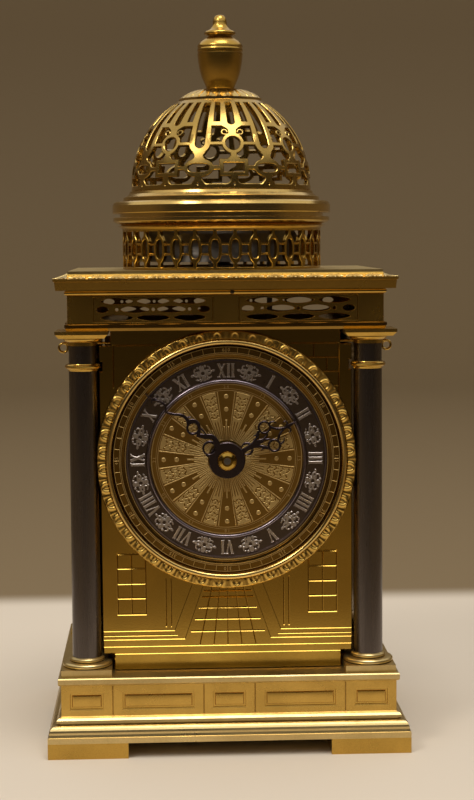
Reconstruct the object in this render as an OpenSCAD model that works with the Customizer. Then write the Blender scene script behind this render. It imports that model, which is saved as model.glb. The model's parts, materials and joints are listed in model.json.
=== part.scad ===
/* [Plan] */
// Width of the clock over the feet
case_w = 160; // [150:1:180]
// Depth of the clock over the feet
case_d = 120; // [114:1:150]
// Distance of the column centres from the sides
column_inset_x = 17.1; // [16:0.1:19]
// Distance of the column centres from the front and back
column_inset_y = 18.4; // [17.5:0.1:20]

/* [Base] */
// Height of the corner feet
foot_h = 6.9; // [4:0.1:12]
// Width of a corner foot
foot_w = 35.3; // [30:0.1:45]
// Depth of a corner foot
foot_d = 34; // [30:0.5:40]
// Height of the plinth moulding
moulding_h = 10.8; // [8:0.1:16]
// How far the plinth moulding steps in
moulding_step = 5.9; // [5:0.1:7]
// Height of the panelled dado
dado_h = 13.8; // [11:0.1:20]
// Thickness of the ledge plate
ledge_t = 3.3; // [2.5:0.1:5]
// Overhang of the ledge plate past the dado
ledge_overhang = 1.3; // [0.5:0.1:1.6]
// Thickness of the walls of the base
base_wall = 7; // [5:0.5:9]
// Side of a solid corner block of the base
corner_block = 20; // [18:0.5:24]
// Thickness of the bottom plate
floor_t = 1.5; // [1:0.1:2.5]
// Depth of the sunk panels
panel_depth = 0.7; // [0.3:0.1:1.2]

/* [Columns] */
// Side of a column plinth
plinth_side = 22.2; // [21:0.1:23]
// Height of a column plinth
plinth_h = 3; // [2:0.1:5]
// Height of the turned column base
turned_base_h = 4.2; // [3.5:0.1:6]
// Length of the tapered shaft
shaft_h = 127.4; // [120:0.1:140]
// Radius at the foot of the shaft
shaft_r = 6.5; // [5.8:0.1:6.8]
// Height of the ring under the neck
astragal_h = 3.2; // [2.4:0.1:4]
// Length of the dark neck
neck_h = 7.9; // [6:0.1:10]
// Height of the capital
capital_h = 6.6; // [6:0.1:8]
// Side of the capital's top slab
abacus_side = 23; // [22:0.1:24]
// Radius of the tie rods
rod_r = 1.5; // [1.2:0.1:1.6]

/* [Top] */
// Height of the architrave plate
architrave_h = 3; // [2.5:0.1:4]
// Inset of the architrave from the sides
architrave_inset = 9.75; // [9:0.05:10.5]
// Height of the pierced frieze
frieze_h = 12.4; // [10:0.1:16]
// Inset of the frieze from the sides
frieze_inset = 11; // [10.6:0.1:12]
// Wall of the pierced frieze
frieze_wall = 2; // [1.5:0.1:2.6]
// Height of the cornice
cornice_h = 9.3; // [8:0.1:12]
// Inset of the cornice lip from the sides
cornice_inset = 5.2; // [4.5:0.1:6]
// Thickness of the top plate
top_t = 1.2; // [1:0.1:2]
// Inset of the top plate from the sides
top_inset = 11.4; // [11.2:0.1:12.5]

/* [Drum and dome] */
// Outer radius of the drum
drum_r = 45.6; // [44:0.1:47]
// Wall of the drum
drum_wall = 2; // [1.6:0.1:3]
// Height of the drum
drum_h = 19.7; // [17:0.1:26]
// Height of the drum's cornice
drum_cornice_h = 3.8; // [3:0.1:6]
// Overhang of the drum's cornice past the drum
drum_cornice_overhang = 4.2; // [2.9:0.1:5.4]
// Number of ovals round the drum
drum_ovals = 32; // [16:4:40]
// Overhang of the dome's flange past the drum
flange_overhang = 4.5; // [3.5:0.1:5.9]
// Height of the dome's stepped ring
dome_ring_h = 12; // [11:0.1:14]
// Outer radius of the pierced shell at its foot
shell_r = 41.2; // [40:0.1:42]
// Height of the pierced shell
shell_h = 40.8; // [38:0.1:42]
// Wall of the pierced shell
shell_wall = 1.8; // [1.4:0.1:2.4]
// Number of repeats round the dome
dome_repeats = 8; // [6:1:10]
// Radius of the gadrooned cap
cap_r = 18.6; // [18:0.1:19.4]
// Height of the gadrooned cap
cap_h = 5.6; // [4.5:0.1:7]
// Number of lobes round the cap
cap_lobes = 24; // [16:1:32]
// Height of the finial above the cap
finial_h = 33.4; // [28:0.1:40]
// Greatest radius of the finial
finial_r = 10.4; // [8:0.1:12]

/* [Walls] */
// Thickness of the front and back plates
plate_t = 3; // [2.6:0.1:3.4]
// Thickness of a side door
door_t = 2; // [1.6:0.1:2.6]
// Gap between a wall and the columns
wall_gap = 0.6; // [0.4:0.1:1]
// Radius of a hinge pin
hinge_pin_r = 1; // [0.8:0.05:1.2]
// Radius of a lock pin
lock_pin_r = 0.6; // [0.4:0.05:0.6]
// Radius of a winding hole
winding_hole_r = 5; // [4:0.1:6]

/* [Dial] */
// Height of the dial centre
dial_z = 129.5; // [126:0.1:133]
// Gap between the bezel and the column shafts
bezel_gap = 0.4; // [0.3:0.1:2.4]
// Width of the egg and leaf bezel
bezel_w = 5.8; // [5:0.1:7]
// How far the bezel stands out of the front plate
bezel_t = 5.5; // [4.5:0.1:7]
// Number of eggs round the bezel
bezel_eggs = 48; // [36:2:60]
// Width of the minute ring
minute_ring_w = 5.8; // [5:0.1:7]
// Width of the chapter ring
chapter_w = 10.6; // [9:0.1:12]
// Thickness of the chapter ring
chapter_t = 2.2; // [1.6:0.1:3]
// Thickness of the minute ring
minute_ring_t = 4; // [3.4:0.1:4.6]
// Thickness of the centre plate
centre_plate_t = 1.6; // [1:0.1:2]
// How far the minute hand reaches past the chapter ring
minute_hand_reach = 1.6; // [-2:0.1:4]
// How far the hour hand reaches over the chapter ring
hour_hand_reach = 1.2; // [-3:0.1:4]
// Radius of the round boss of each hand
hand_boss_r = 8; // [6:0.1:9]
// Where the minute hand points, clockwise from twelve
minute_angle = 310; // [0:1:359]
// Where the hour hand points, clockwise from twelve
hour_angle = 61.4; // [0:0.1:359]

/* [Movement] */
// Gap between the train plates and the side doors
train_side_gap = 6.3; // [5.5:0.1:7]
// Thickness of the train plates
train_plate_t = 2; // [1.6:0.1:2.4]
// Gap between the front plate and the train's front plate
train_front_gap = 11.7; // [10.8:0.1:12.6]
// Gap between the train's back plate and the back plate
train_back_gap = 13.7; // [12.8:0.1:14.6]
// Gap between the train plates and the architrave
train_top_gap = 9.1; // [8.2:0.1:11]
// Radius of the wheel arbors
arbor_r = 1.5; // [1.2:0.05:1.7]
// Radial clearance of the running fits
running_gap = 0.06; // [0.03:0.01:0.1]
// How much smaller a spring barrel is than the root of its great wheel
barrel_step = 1.135; // [0.6:0.1:4]
// Gap between a great wheel and the side door
great_gap = 5.1; // [4.6:0.1:8]
// Gap between the bell's lip and the drum
bell_gap = 4.6; // [3.6:0.1:8]
// Height of the bell
bell_h = 29; // [24:0.5:30]
// Wall of the bell
bell_wall = 2; // [1.6:0.1:3]

/* [Hidden] */
$fn = 48;
eps = 0.05;

hx = case_w / 2;
hy = case_d / 2;
col_x = hx - column_inset_x;
col_y = hy - column_inset_y;
column_at = [[-col_x, -col_y], [col_x, -col_y], [-col_x, col_y], [col_x, col_y]];

z_moulding = foot_h;
z_dado = z_moulding + moulding_h;
z_ledge = z_dado + dado_h;
z_floor = z_ledge + ledge_t;
z_turned = z_floor + plinth_h;
z_shaft = z_turned + turned_base_h;
z_astragal = z_shaft + shaft_h;
z_neck = z_astragal + astragal_h;
z_capital = z_neck + neck_h;
z_architrave = z_capital + capital_h;
z_frieze = z_architrave + architrave_h;
z_cornice = z_frieze + frieze_h;
z_top = z_cornice + cornice_h;
z_drum = z_top + top_t;
z_drum_cornice = z_drum + drum_h;
z_dome = z_drum_cornice + drum_cornice_h;
z_shell = z_dome + dome_ring_h;
z_cap = z_shell + shell_h;
z_finial = z_cap + cap_h;

foot_pocket_h = foot_h - 2.9;
top_hole_x = col_x - 18.9;
top_hole_y = col_y - 9.6;
cornice_hole_x = hx - frieze_inset - 8;
cornice_hole_y = hy - frieze_inset - 8;

abacus_h = 3.1;
capital_fillet_h = 1.6;
rod_gap = 0.1;
neck_r = 6.1;
lower_torus_r = plinth_side / 2;
upper_torus_r = 7.9;
astragal_r = 7.8;

front_y = -(col_y - 0.9);
front_back_y = front_y + plate_t;
plate_half_w = col_x - shaft_r - wall_gap;
notch_x = col_x - abacus_side / 2 - wall_gap;
wall_gap_z = 0.25;
door_x = col_x - 1.6;
door_half_d = col_y - shaft_r - wall_gap;
notch_y = col_y - abacus_side / 2 - wall_gap;
door_axis_y = notch_y - 1.2;
wall_bottom_z = z_floor + wall_gap_z;
wall_top_z = z_architrave - wall_gap_z;
notch_low_z = z_shaft + 0.4;
notch_high_z = z_capital - 0.4;
ring_notch_x = col_x - astragal_r - wall_gap;
ring_notch_y = col_y - astragal_r - wall_gap;
ring_notch_low = z_astragal - wall_gap;
ring_notch_high = z_neck + wall_gap;
lock_z = z_capital + 0.8;
lock_y = front_back_y - 1.3;
lock_depth = 5;
lock_in_x = notch_x - lock_depth;
lock_ring_r = 1.95;
lock_ring_x = col_x + neck_r + lock_ring_r + lock_pin_r - 0.15;

dial_y = front_y;
// The dial fills the width between the columns or the height under the
// architrave, whichever is less
architrave_gap = 1.6;
bezel_r = min(col_x - shaft_r - bezel_gap, z_architrave - architrave_gap - dial_z);
bezel_inner_r = bezel_r - bezel_w;
chapter_r = bezel_inner_r - minute_ring_w;
chapter_inner_r = chapter_r - chapter_w;
minute_hand_l = chapter_r + minute_hand_reach;
hour_hand_l = chapter_inner_r + hour_hand_reach;
hand_t = 1.2;
// How far the hour hand turns in front of the dial's plane, and the minute
// hand in front of the hour hand
hour_hand_lift = 4.4;
hands_gap = 0.6;
hour_hand_y = dial_y - hour_hand_lift - hand_t;
minute_hand_y = hour_hand_y - hands_gap - hand_t;
pipe_r = 2.3;
hour_pipe_bore = pipe_r + 0.08;
hour_pipe_r = 3.5;
dial_bore = hour_pipe_r + 0.4;

door_in_x = door_x - door_t / 2;
train_half_w = door_in_x - train_side_gap;
train_front_y = front_back_y + train_front_gap;
train_back_y = -front_back_y - train_back_gap;
train_top_z = z_architrave - train_top_gap;
train_in_front = train_front_y + train_plate_t;
train_in_back = train_back_y - train_plate_t;
centre_pinion_teeth = 8;
great_teeth = 48;
// Directions of the lines of centres, seen from the front
great_line = 25;
// How far teeth stand above the pitch circle and reach below it, as a
// share of the tooth size
tooth_up = 0.8;
tooth_down = 1.15;
// The tooth size lets the great wheels fill the width between the doors
great_module = (door_in_x - great_gap)
    / ((great_teeth + centre_pinion_teeth) / 2 * cos(great_line) + great_teeth / 2 + tooth_up);
great_distance = (great_teeth + centre_pinion_teeth) / 2 * great_module;
barrel_r = great_module * (great_teeth / 2 - tooth_down) - barrel_step;
third_line = 124;
pin_line = 75;
fly_line = 70;
barrel_x = great_distance * cos(great_line);
barrel_z = dial_z - great_distance * sin(great_line);
cannon_teeth = 12;
minute_teeth = 36;
motion_module = 0.75;
motion_distance = (cannon_teeth + minute_teeth) / 2 * motion_module;
minute_pinion_teeth = 10;
hour_teeth = 40;
hour_module = motion_distance * 2 / (minute_pinion_teeth + hour_teeth);
centre_teeth = 40;
third_pinion_teeth = 8;
centre_module = 0.9;
third_distance = (centre_teeth + third_pinion_teeth) / 2 * centre_module;
third_x = third_distance * cos(third_line);
third_z = dial_z + third_distance * sin(third_line);
third_teeth = 36;
crown_pinion_teeth = 6;
third_module = 0.8;
crown_distance = (third_teeth + crown_pinion_teeth) / 2 * third_module;
crown_z = third_z + sqrt(crown_distance ^ 2 - third_x ^ 2);
crown_line = atan2(crown_z - third_z, -third_x);
crown_r = 9;
crown_teeth = 15;

// Places of the wheels along the arbors, from front to back
centre_wheel_y = train_in_front + 4;
third_wheel_y = centre_wheel_y + 6;
potence_y = third_wheel_y + 5;
crown_y = potence_y + 4;
crown_l = 7.6;
verge_y = crown_y + crown_l + 3.9;
barrel_y0 = train_in_front + 14;
barrel_y1 = train_in_back - 14;
great_t = 3;
pin_wheel_y = train_in_back - 9;
wheel_t = 2;

pin_x = barrel_x + great_distance * cos(pin_line);
pin_z = barrel_z + great_distance * sin(pin_line);
pin_wheel_teeth = 48;
fly_pinion_teeth = 8;
fly_module = 0.6;
fly_distance = (pin_wheel_teeth + fly_pinion_teeth) / 2 * fly_module;
fly_x = pin_x + fly_distance * cos(fly_line);
fly_z = pin_z + fly_distance * sin(fly_line);
hammer_x = 22;
hammer_z = 171;
drum_in_r = drum_r - drum_wall;
drum_cornice_r = drum_r + drum_cornice_overhang;
flange_r = drum_r + flange_overhang;
bell_z = z_drum + 3.5;
bell_lip = 1;
bell_r = drum_in_r - bell_gap - bell_lip;
stand_half_l = drum_in_r - 1.6;
stand_hole_r = stand_half_l - 4;
post_r = 3;
stem_r = 2.5;

// Points of an arc from one angle to another round a centre
function arc(cx, cz, r, a0, a1, n = 6) =
    [for (i = [0 : n]) let (a = a0 + (a1 - a0) * i / n) [cx + r * cos(a), cz + r * sin(a)]];

// Outline of a spur wheel with straight-sided teeth
function wheel_points(teeth, pitch_r, tooth) =
    [for (i = [0 : teeth - 1], k = [0 : 3])
        let (step = 360 / teeth,
             a = i * step + [-0.27, -0.12, 0.12, 0.27][k] * step,
             r = (k == 0 || k == 3) ? pitch_r - tooth_down * tooth : pitch_r + tooth_up * tooth)
        [r * cos(a), r * sin(a)]];

// The turn that brings a gap of a pinion to face a wheel's tooth along a
// line of centres
function gap_turn(line, teeth) = line + 180 + 180 / teeth;

// A block of rectangular plan whose four sides follow one profile of
// insets and heights, mitred at the corners
module mitred(points) {
    top = points[len(points) - 1][1];
    low = points[0][1];
    intersection() {
        translate([0, hy, 0]) rotate([90, 0, 0]) linear_extrude(case_d)
            polygon(concat([for (p = points) [hx - p[0], p[1]]],
                           [for (i = [len(points) - 1 : -1 : 0]) [points[i][0] - hx, points[i][1]]]));
        translate([-hx, 0, 0]) rotate([90, 0, 90]) linear_extrude(case_w)
            polygon(concat([for (p = points) [hy - p[0], p[1]]],
                           [for (i = [len(points) - 1 : -1 : 0]) [points[i][0] - hy, points[i][1]]]));
    }
}

// A centred box between two heights
module slab(half_x, half_y, low, high) {
    translate([-half_x, -half_y, low]) cube([2 * half_x, 2 * half_y, high - low]);
}

// The inside of the base, which leaves its corner blocks solid
module base_hollow(inset, low, high) {
    slab(hx - inset - base_wall, hy - inset - corner_block, low, high);
    slab(hx - inset - corner_block, hy - inset - base_wall, low, high);
}

module at_columns() {
    for (p = column_at) translate([p[0], p[1], 0]) children();
}

module rod_bores(low, high) {
    at_columns() translate([0, 0, low]) cylinder(h = high - low, r = rod_r + rod_gap);
}

// A cylinder along the Y axis between two places
module y_cylinder(x, z, r, y0, y1) {
    translate([x, y1, z]) rotate([90, 0, 0]) cylinder(h = y1 - y0, r = r);
}

// A toothed wheel on the Y axis, turned by an angle, with or without a bore
module y_wheel(x, z, teeth, tooth, y0, y1, turn = 0, bore = 0) {
    translate([x, y1, z]) rotate([90, 0, 0]) rotate(turn) linear_extrude(y1 - y0)
        difference() {
            polygon(wheel_points(teeth, teeth * tooth / 2, tooth));
            if (bore > 0) circle(r = bore);
        }
}

// The windows between the spokes of a wheel
module y_windows(x, z, spokes, r_in, r_out, y0, y1) {
    for (i = [0 : spokes - 1])
        translate([x, y1 + eps, z]) rotate([90, 0, 0]) rotate(i * 360 / spokes + 180 / spokes)
            translate([(r_in + r_out) / 2, 0, 0]) cylinder(h = y1 - y0 + 2 * eps, r = (r_out - r_in) / 2);
}

module corner_feet() {
    color("goldenrod") difference() {
        for (sx = [-1, 1], sy = [-1, 1])
            translate([sx * (hx - foot_w / 2), sy * (hy - foot_d / 2), 0])
                translate([-foot_w / 2, -foot_d / 2, 0]) cube([foot_w, foot_d, foot_h]);
        rod_bores(-eps, foot_h + eps);
        at_columns() translate([0, 0, -eps]) cylinder(h = foot_pocket_h + eps, r = 5.2);
    }
}

module base_moulding() {
    z = z_moulding;
    step = moulding_step;
    color("gold") difference() {
        mitred(concat([[0, z], [0, z + 2.5], [0.4, z + 2.7]],
                      [for (p = arc(3.7, z + 4.5, 3, 190, 100, 5)) [p[0], p[1] - 0.2]],
                      [[step - 1.9, z + 7.2], [step - 0.7, z + 7.2], [step - 0.7, z + 8.2]],
                      [[step - 2.1, z + 8.3], [step - 2, z + 9.3], [step - 1.2, z + 10.2],
                       [step, z + moulding_h]]));
        base_hollow(step, z - eps, z + moulding_h + eps);
        rod_bores(z - eps, z + moulding_h + eps);
    }
}

module base_floor() {
    z = z_moulding + 4;
    color("peru") base_hollow(moulding_step, z, z + floor_t);
}

panel_z0 = z_dado + 2.6;
panel_z1 = z_ledge - 3.2;
panel_half_w = 7.75;
// Grooves between the panels, measured from the middle of a side
inner_divider = 11.3;
outer_divider = col_x - 11.5;
side_divider = col_y - 11;
wide_x = (outer_divider + inner_divider) / 2;
wide_half_w = (outer_divider - inner_divider) / 2 - 3.85;
// Centres and half widths of the panels
front_panels = [[-col_x, panel_half_w], [-wide_x, wide_half_w], [0, panel_half_w],
                [wide_x, wide_half_w], [col_x, panel_half_w]];
side_panels = [[-col_y, panel_half_w], [0, side_divider - 4.6], [col_y, panel_half_w]];
front_dividers = [-outer_divider, -inner_divider, inner_divider, outer_divider];
side_dividers = [-side_divider, side_divider];

// A sunk frame round a raised field, cut into a face at y = 0
module panel_cut(centre, half_w) {
    translate([centre - half_w, -eps, panel_z0]) difference() {
        cube([2 * half_w, panel_depth + eps, panel_z1 - panel_z0]);
        translate([1.3, -1, 1.3]) cube([2 * half_w - 2.6, 3, panel_z1 - panel_z0 - 2.6]);
    }
}

module divider_cut(centre) {
    translate([centre - 0.2, -eps, z_dado + 0.4]) cube([0.4, 0.5 + eps, dado_h - 0.8]);
}

module base_dado() {
    step = moulding_step;
    color("darkgoldenrod") difference() {
        slab(hx - step, hy - step, z_dado, z_ledge);
        base_hollow(step, z_dado - eps, z_ledge + eps);
        rod_bores(z_dado - eps, z_ledge + eps);
        for (turn = [0, 180]) rotate(turn) translate([0, -(hy - step), 0]) {
            for (p = front_panels) panel_cut(p[0], p[1]);
            for (d = front_dividers) divider_cut(d);
        }
        for (turn = [90, 270]) rotate(turn) translate([0, -(hx - step), 0]) {
            for (p = side_panels) panel_cut(p[0], p[1]);
            for (d = side_dividers) divider_cut(d);
        }
    }
}

catch_x = 24;
catch_w = 4.7;
catch_t = 1.3;

module base_ledge() {
    inset = moulding_step - ledge_overhang;
    color("gold") difference() {
        mitred([[inset + 0.6, z_ledge], [inset, z_ledge + 0.7], [inset, z_floor - 0.5],
                [inset + 0.4, z_floor]]);
        rod_bores(z_ledge - eps, z_floor + eps);
        for (sx = [-1, 1]) translate([sx * door_x, door_axis_y, z_floor - 2])
            cylinder(h = 2 + eps, r = hinge_pin_r + running_gap);
        translate([catch_x - catch_w / 2 - 0.4, front_y - 0.5, z_ledge - eps])
            cube([catch_w + 0.8, catch_t + 1.4, ledge_t + 2 * eps]);
    }
}

module column_bases() {
    r1 = lower_torus_r;
    r2 = upper_torus_r;
    color("gold") difference() {
        at_columns() {
            translate([-plinth_side / 2, -plinth_side / 2, z_floor])
                cube([plinth_side, plinth_side, plinth_h]);
            translate([0, 0, z_turned]) rotate_extrude($fn = 64)
                polygon(concat([[0, 0]], arc(r1 - 1.05, 1.05, 1.05, -90, 90),
                               [[r2 - 0.6, 2.3]], arc(r2 - 0.8, 3.2, 0.8, -80, 90),
                               [[shaft_r + 0.2, turned_base_h], [0, turned_base_h]]));
        }
        rod_bores(z_floor - eps, z_shaft + eps);
    }
}

module column_shafts() {
    color("dimgray") difference() {
        at_columns() {
            translate([0, 0, z_shaft]) cylinder(h = shaft_h, r1 = shaft_r, r2 = shaft_r - 0.3, $fn = 64);
            translate([0, 0, z_astragal]) cylinder(h = astragal_h, r = neck_r - 0.2, $fn = 64);
            translate([0, 0, z_neck]) cylinder(h = neck_h, r = neck_r, $fn = 64);
        }
        rod_bores(z_shaft - eps, z_capital + eps);
    }
}

module column_astragals() {
    r = astragal_r;
    color("gold") at_columns() translate([0, 0, z_astragal]) rotate_extrude($fn = 64)
        polygon(concat([[neck_r - 0.2, 0], [shaft_r - 0.1, 0], [r - 1.1, 0.8]],
                       arc(r - 1.1, 1.9, 1.1, -90, 90), [[neck_r + 0.5, astragal_h],
                       [neck_r - 0.2, astragal_h]]));
}

module column_capitals() {
    round_h = capital_h - abacus_h;
    half = abacus_side / 2;
    color("gold") difference() {
        at_columns() {
            translate([0, 0, z_capital]) rotate_extrude($fn = 64)
                polygon(concat([[0, 0], [neck_r + 0.5, 0], [neck_r + 0.5, capital_fillet_h]],
                               arc(neck_r + 0.7, round_h, round_h - capital_fillet_h, -90, 0, 5),
                               [[0, round_h]]));
            translate([0, 0, z_capital + round_h]) intersection_for(turn = [0, 90]) rotate(turn)
                translate([0, half, 0]) rotate([90, 0, 0]) linear_extrude(abacus_side)
                    polygon([[1.6 - half, 0], [half - 1.6, 0], [half - 0.3, 1.6], [half, 1.7],
                             [half, abacus_h], [-half, abacus_h], [-half, 1.7], [0.3 - half, 1.6]]);
        }
        rod_bores(z_capital - eps, z_architrave + eps);
        for (sx = [-1, 1]) translate([sx * (col_x - 15), lock_y, lock_z]) rotate([0, sx * 90, 0])
            cylinder(h = 30, r = lock_pin_r + running_gap);
    }
}

rod_low_z = 1.2;
rod_high_z = z_frieze + 4.4;
nut_h = 2.6;
nut_r = 3.9;

module tie_rods() {
    color("gray") at_columns() translate([0, 0, rod_low_z])
        cylinder(h = rod_high_z - rod_low_z, r = rod_r);
}

module tie_nuts() {
    color("gray") at_columns() for (z = [foot_pocket_h - nut_h, z_frieze]) translate([0, 0, z])
        difference() {
            cylinder(h = nut_h, r = nut_r, $fn = 6);
            translate([0, 0, -eps]) cylinder(h = nut_h + 2 * eps, r = rod_r);
        }
}

module architrave() {
    z = z_architrave;
    color("darkgoldenrod") difference() {
        mitred([[architrave_inset + 0.9, z], [architrave_inset + 0.3, z + 1.2],
                [architrave_inset + 0.3, z + 1.5], [architrave_inset, z + 1.6],
                [architrave_inset, z + architrave_h - 0.3], [architrave_inset + 0.6, z + architrave_h]]);
        slab(top_hole_x, top_hole_y, z - eps, z + architrave_h + eps);
        rod_bores(z - eps, z + architrave_h + eps);
        for (sx = [-1, 1]) translate([sx * door_x, door_axis_y, z - eps])
            cylinder(h = 2 + eps, r = hinge_pin_r + running_gap);
    }
}

// Plain bands of the frieze, at its corners and each side of the middle
frieze_corner = 13.65;
frieze_middle = 7.95;

// A long pointed opening of the strapwork
module lens(w, h) {
    polygon([[-w / 2, 0], [-w * 0.3, h / 2], [w * 0.3, h / 2], [w / 2, 0],
             [w * 0.3, -h / 2], [-w * 0.3, -h / 2]]);
}

// The openings of one strapwork panel of so many units, in its own plane
module strapwork(units, pitch) {
    first = -(units - 1) / 2;
    for (i = [0 : units - 1]) translate([(first + i) * pitch, 0]) {
        translate([0, 3.35]) lens(pitch - 2.4, 2.5);
        translate([0, -3.35]) lens(pitch - 2.4, 2.5);
    }
    for (i = [0 : units - 2]) translate([(first + i + 0.5) * pitch, 0]) lens(pitch - 4.6, 2.6);
    for (s = [-1, 1]) translate([s * (units * pitch / 2 - 1.2), 0]) lens(5.2, 2.6);
}

module frieze() {
    out_x = hx - frieze_inset;
    out_y = hy - frieze_inset;
    z = z_frieze + frieze_h / 2;
    pitch_x = (out_x - frieze_corner - frieze_middle) / 3;
    pitch_y = (out_y - frieze_corner - frieze_middle) / 2;
    color("darkgoldenrod") difference() {
        slab(out_x, out_y, z_frieze, z_cornice);
        slab(out_x - frieze_wall, out_y - frieze_wall, z_frieze - eps, z_cornice + eps);
        for (sx = [-1, 1]) translate([sx * (frieze_middle + 1.5 * pitch_x), out_y + eps, z])
            rotate([90, 0, 0]) linear_extrude(2 * out_y + 2 * eps) strapwork(3, pitch_x);
        for (sy = [-1, 1]) translate([-out_x - eps, sy * (frieze_middle + pitch_y), z])
            rotate([90, 0, 90]) linear_extrude(2 * out_x + 2 * eps) strapwork(2, pitch_y);
    }
}

module cornice() {
    z = z_cornice;
    lip = cornice_inset;
    color("gold") difference() {
        mitred(concat([[frieze_inset, z]], [for (p = arc(lip + 5.7, z + 1.15, 1.05, 260, 100, 5)) p],
                      [[frieze_inset - 1, z + 2.3], [lip + 1.1, z + 2.3], [lip + 0.7, z + 6],
                       [lip + 0.1, z + 6.2], [lip, z + 7.3]],
                      [for (i = [1 : 5]) [lip + 6.1 * sin(i * 18), z + 7.3 + 2 * (1 - cos(i * 18))]]));
        slab(cornice_hole_x, cornice_hole_y, z - eps, z + cornice_h + eps);
    }
}

module top_plate() {
    color("gold") difference() {
        slab(hx - top_inset, hy - top_inset, z_top, z_drum);
        translate([0, 0, z_top - eps]) cylinder(h = top_t + 2 * eps, r = stand_hole_r, $fn = 96);
    }
}

// Places a flat shape on a drum wall, pushed through it along the radius
module through_wall(turn, r, z) {
    rotate(turn) translate([r, 0, z]) rotate([90, 0, 90]) linear_extrude(8, center = true) children();
}

drum_band_low = 1.7;
drum_band_high = drum_h - 3;

module drum() {
    pitch = 360 / drum_ovals;
    mid = (drum_band_low + drum_band_high) / 2;
    half = (drum_band_high - drum_band_low) / 2;
    w = 2 * PI * drum_r / drum_ovals;
    color("gold") difference() {
        translate([0, 0, z_drum]) rotate_extrude($fn = 96)
            polygon([[drum_in_r, 0], [drum_r, 0], [drum_r, drum_h - 1.9],
                     [drum_r + 0.3, drum_h - 1.8], [drum_r + 0.3, drum_h], [drum_in_r, drum_h]]);
        for (i = [0 : drum_ovals - 1]) {
            through_wall((i + 0.5) * pitch - 90, drum_r, z_drum + mid)
                polygon([for (k = [0 : 7]) let (a = k * 45 + 22.5)
                    [w * 0.215 * cos(a), half * 0.66 * sin(a)]]);
            through_wall(i * pitch - 90, drum_r, z_drum + mid)
                square([w * 0.32, half * 0.5], center = true);
            for (s = [-1, 1]) through_wall(i * pitch - 90, drum_r, z_drum + mid)
                polygon([[-w * 0.34, s * half * 0.93], [w * 0.34, s * half * 0.93],
                         [w * 0.2, s * half * 0.42], [-w * 0.2, s * half * 0.42]]);
        }
    }
}

module drum_cornice() {
    r = drum_cornice_r;
    color("gold") translate([0, 0, z_drum_cornice]) rotate_extrude($fn = 96)
        polygon([[drum_in_r, 0], [drum_r + 0.4, 0], [drum_r + 0.9, 0.8], [r - 1.4, 1.3],
                 [r - 0.3, 1.9], [r, 2.2], [r, drum_cornice_h - 0.3], [r - 0.3, drum_cornice_h],
                 [drum_in_r, drum_cornice_h]]);
}

stud_r = 2;
spigot_h = 6;
spigot_gap = 0.3;

module dome_ring() {
    r = flange_r;
    spigot_r = drum_in_r - spigot_gap;
    color("gold") translate([0, 0, z_dome]) rotate_extrude($fn = 96)
        polygon([[spigot_r - 2, -spigot_h], [spigot_r, -spigot_h], [spigot_r, 0], [r - 3.3, 0],
                 [r - 3.3, 1.8], [r - 0.4, 1.8], [r, 2.2], [r, 5.4], [r - 0.6, 6.6], [r - 1.6, 7.2],
                 [r - 4.9, 7.3], [r - 5.1, 9.1], [r - 6.2, 9.4], [shell_r + 1.2, 10.6],
                 [shell_r + 0.8, 11.7], [shell_r, dome_ring_h], [shell_r - shell_wall - 0.5, dome_ring_h],
                 [spigot_r - 2, 6]]);
}

shell_foot = 2.5;
// The shell closes to the cap's radius and this much more
cap_seat = 0.46;
shell_top_r = cap_r + cap_seat;
shell_rise = shell_h - shell_foot;
// How far the shell's arc is struck from beyond the clock's axis
shell_offset = (shell_top_r ^ 2 + shell_rise ^ 2 - shell_r ^ 2)
    / (2 * (shell_r - shell_top_r));
shell_top_angle = asin(shell_rise / (shell_r + shell_offset));

// Radius of the shell's outside at a height above its foot
function shell_radius(h) = h < shell_foot ? shell_r
    : sqrt((shell_r + shell_offset) ^ 2 - (h - shell_foot) ^ 2) - shell_offset;

// Pushes a flat shape through the shell along the radius or its own tilt
module through_shell(turn, h, tilt) {
    rotate(turn) translate([shell_radius(h), 0, z_shell + h]) rotate([0, -tilt, 0]) rotate([90, 0, 90])
        linear_extrude(9, center = true) children();
}

// A slot up the shell between two heights
module shell_slot(turn, w, low, high) {
    rotate(turn) translate([8, -w / 2, z_shell + low]) cube([shell_r, w, high - low]);
}

module dome_shell() {
    pitch = 360 / dome_repeats;
    first = 6.3 - 90;
    slot_high = shell_h - 1.2;
    color("gold") difference() {
        translate([0, 0, z_shell]) rotate_extrude($fn = 96)
            polygon(concat([[shell_r - shell_wall, 0], [shell_r, 0]],
                           arc(-shell_offset, shell_foot, shell_r + shell_offset, 0, shell_top_angle, 12),
                           [for (i = [12 : -1 : 0]) let (a = shell_top_angle * i / 12,
                                r = shell_r + shell_offset - shell_wall)
                                [r * cos(a) - shell_offset, i == 12 ? shell_h : shell_foot + r * sin(a)]]));
        for (i = [0 : dome_repeats - 1]) {
            turn = first + i * pitch;
            through_shell(turn, 9.3, 9) square([9.1, 4.1], center = true);
            through_shell(turn + pitch / 2, 9.2, 9) lens(10.4, 3.9);
            through_shell(turn, 20, 23) circle(r = 3.3);
            for (s = [-1, 1]) {
                through_shell(turn + s * pitch * 0.27, 15.2, 17) square([4.6, 5], center = true);
                through_shell(turn + s * pitch * 0.24, 3.8, 3) lens(9, 2.6);
                shell_slot(turn + s * pitch / 4, 2.2, 29.8, slot_high);
                shell_slot(turn + s * pitch * 0.235, 3.3, 20.9, 27.5);
            }
            shell_slot(turn, 2.7, 28.3, slot_high);
            shell_slot(turn + pitch / 2, 3.2, 18, slot_high);
        }
    }
}

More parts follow.
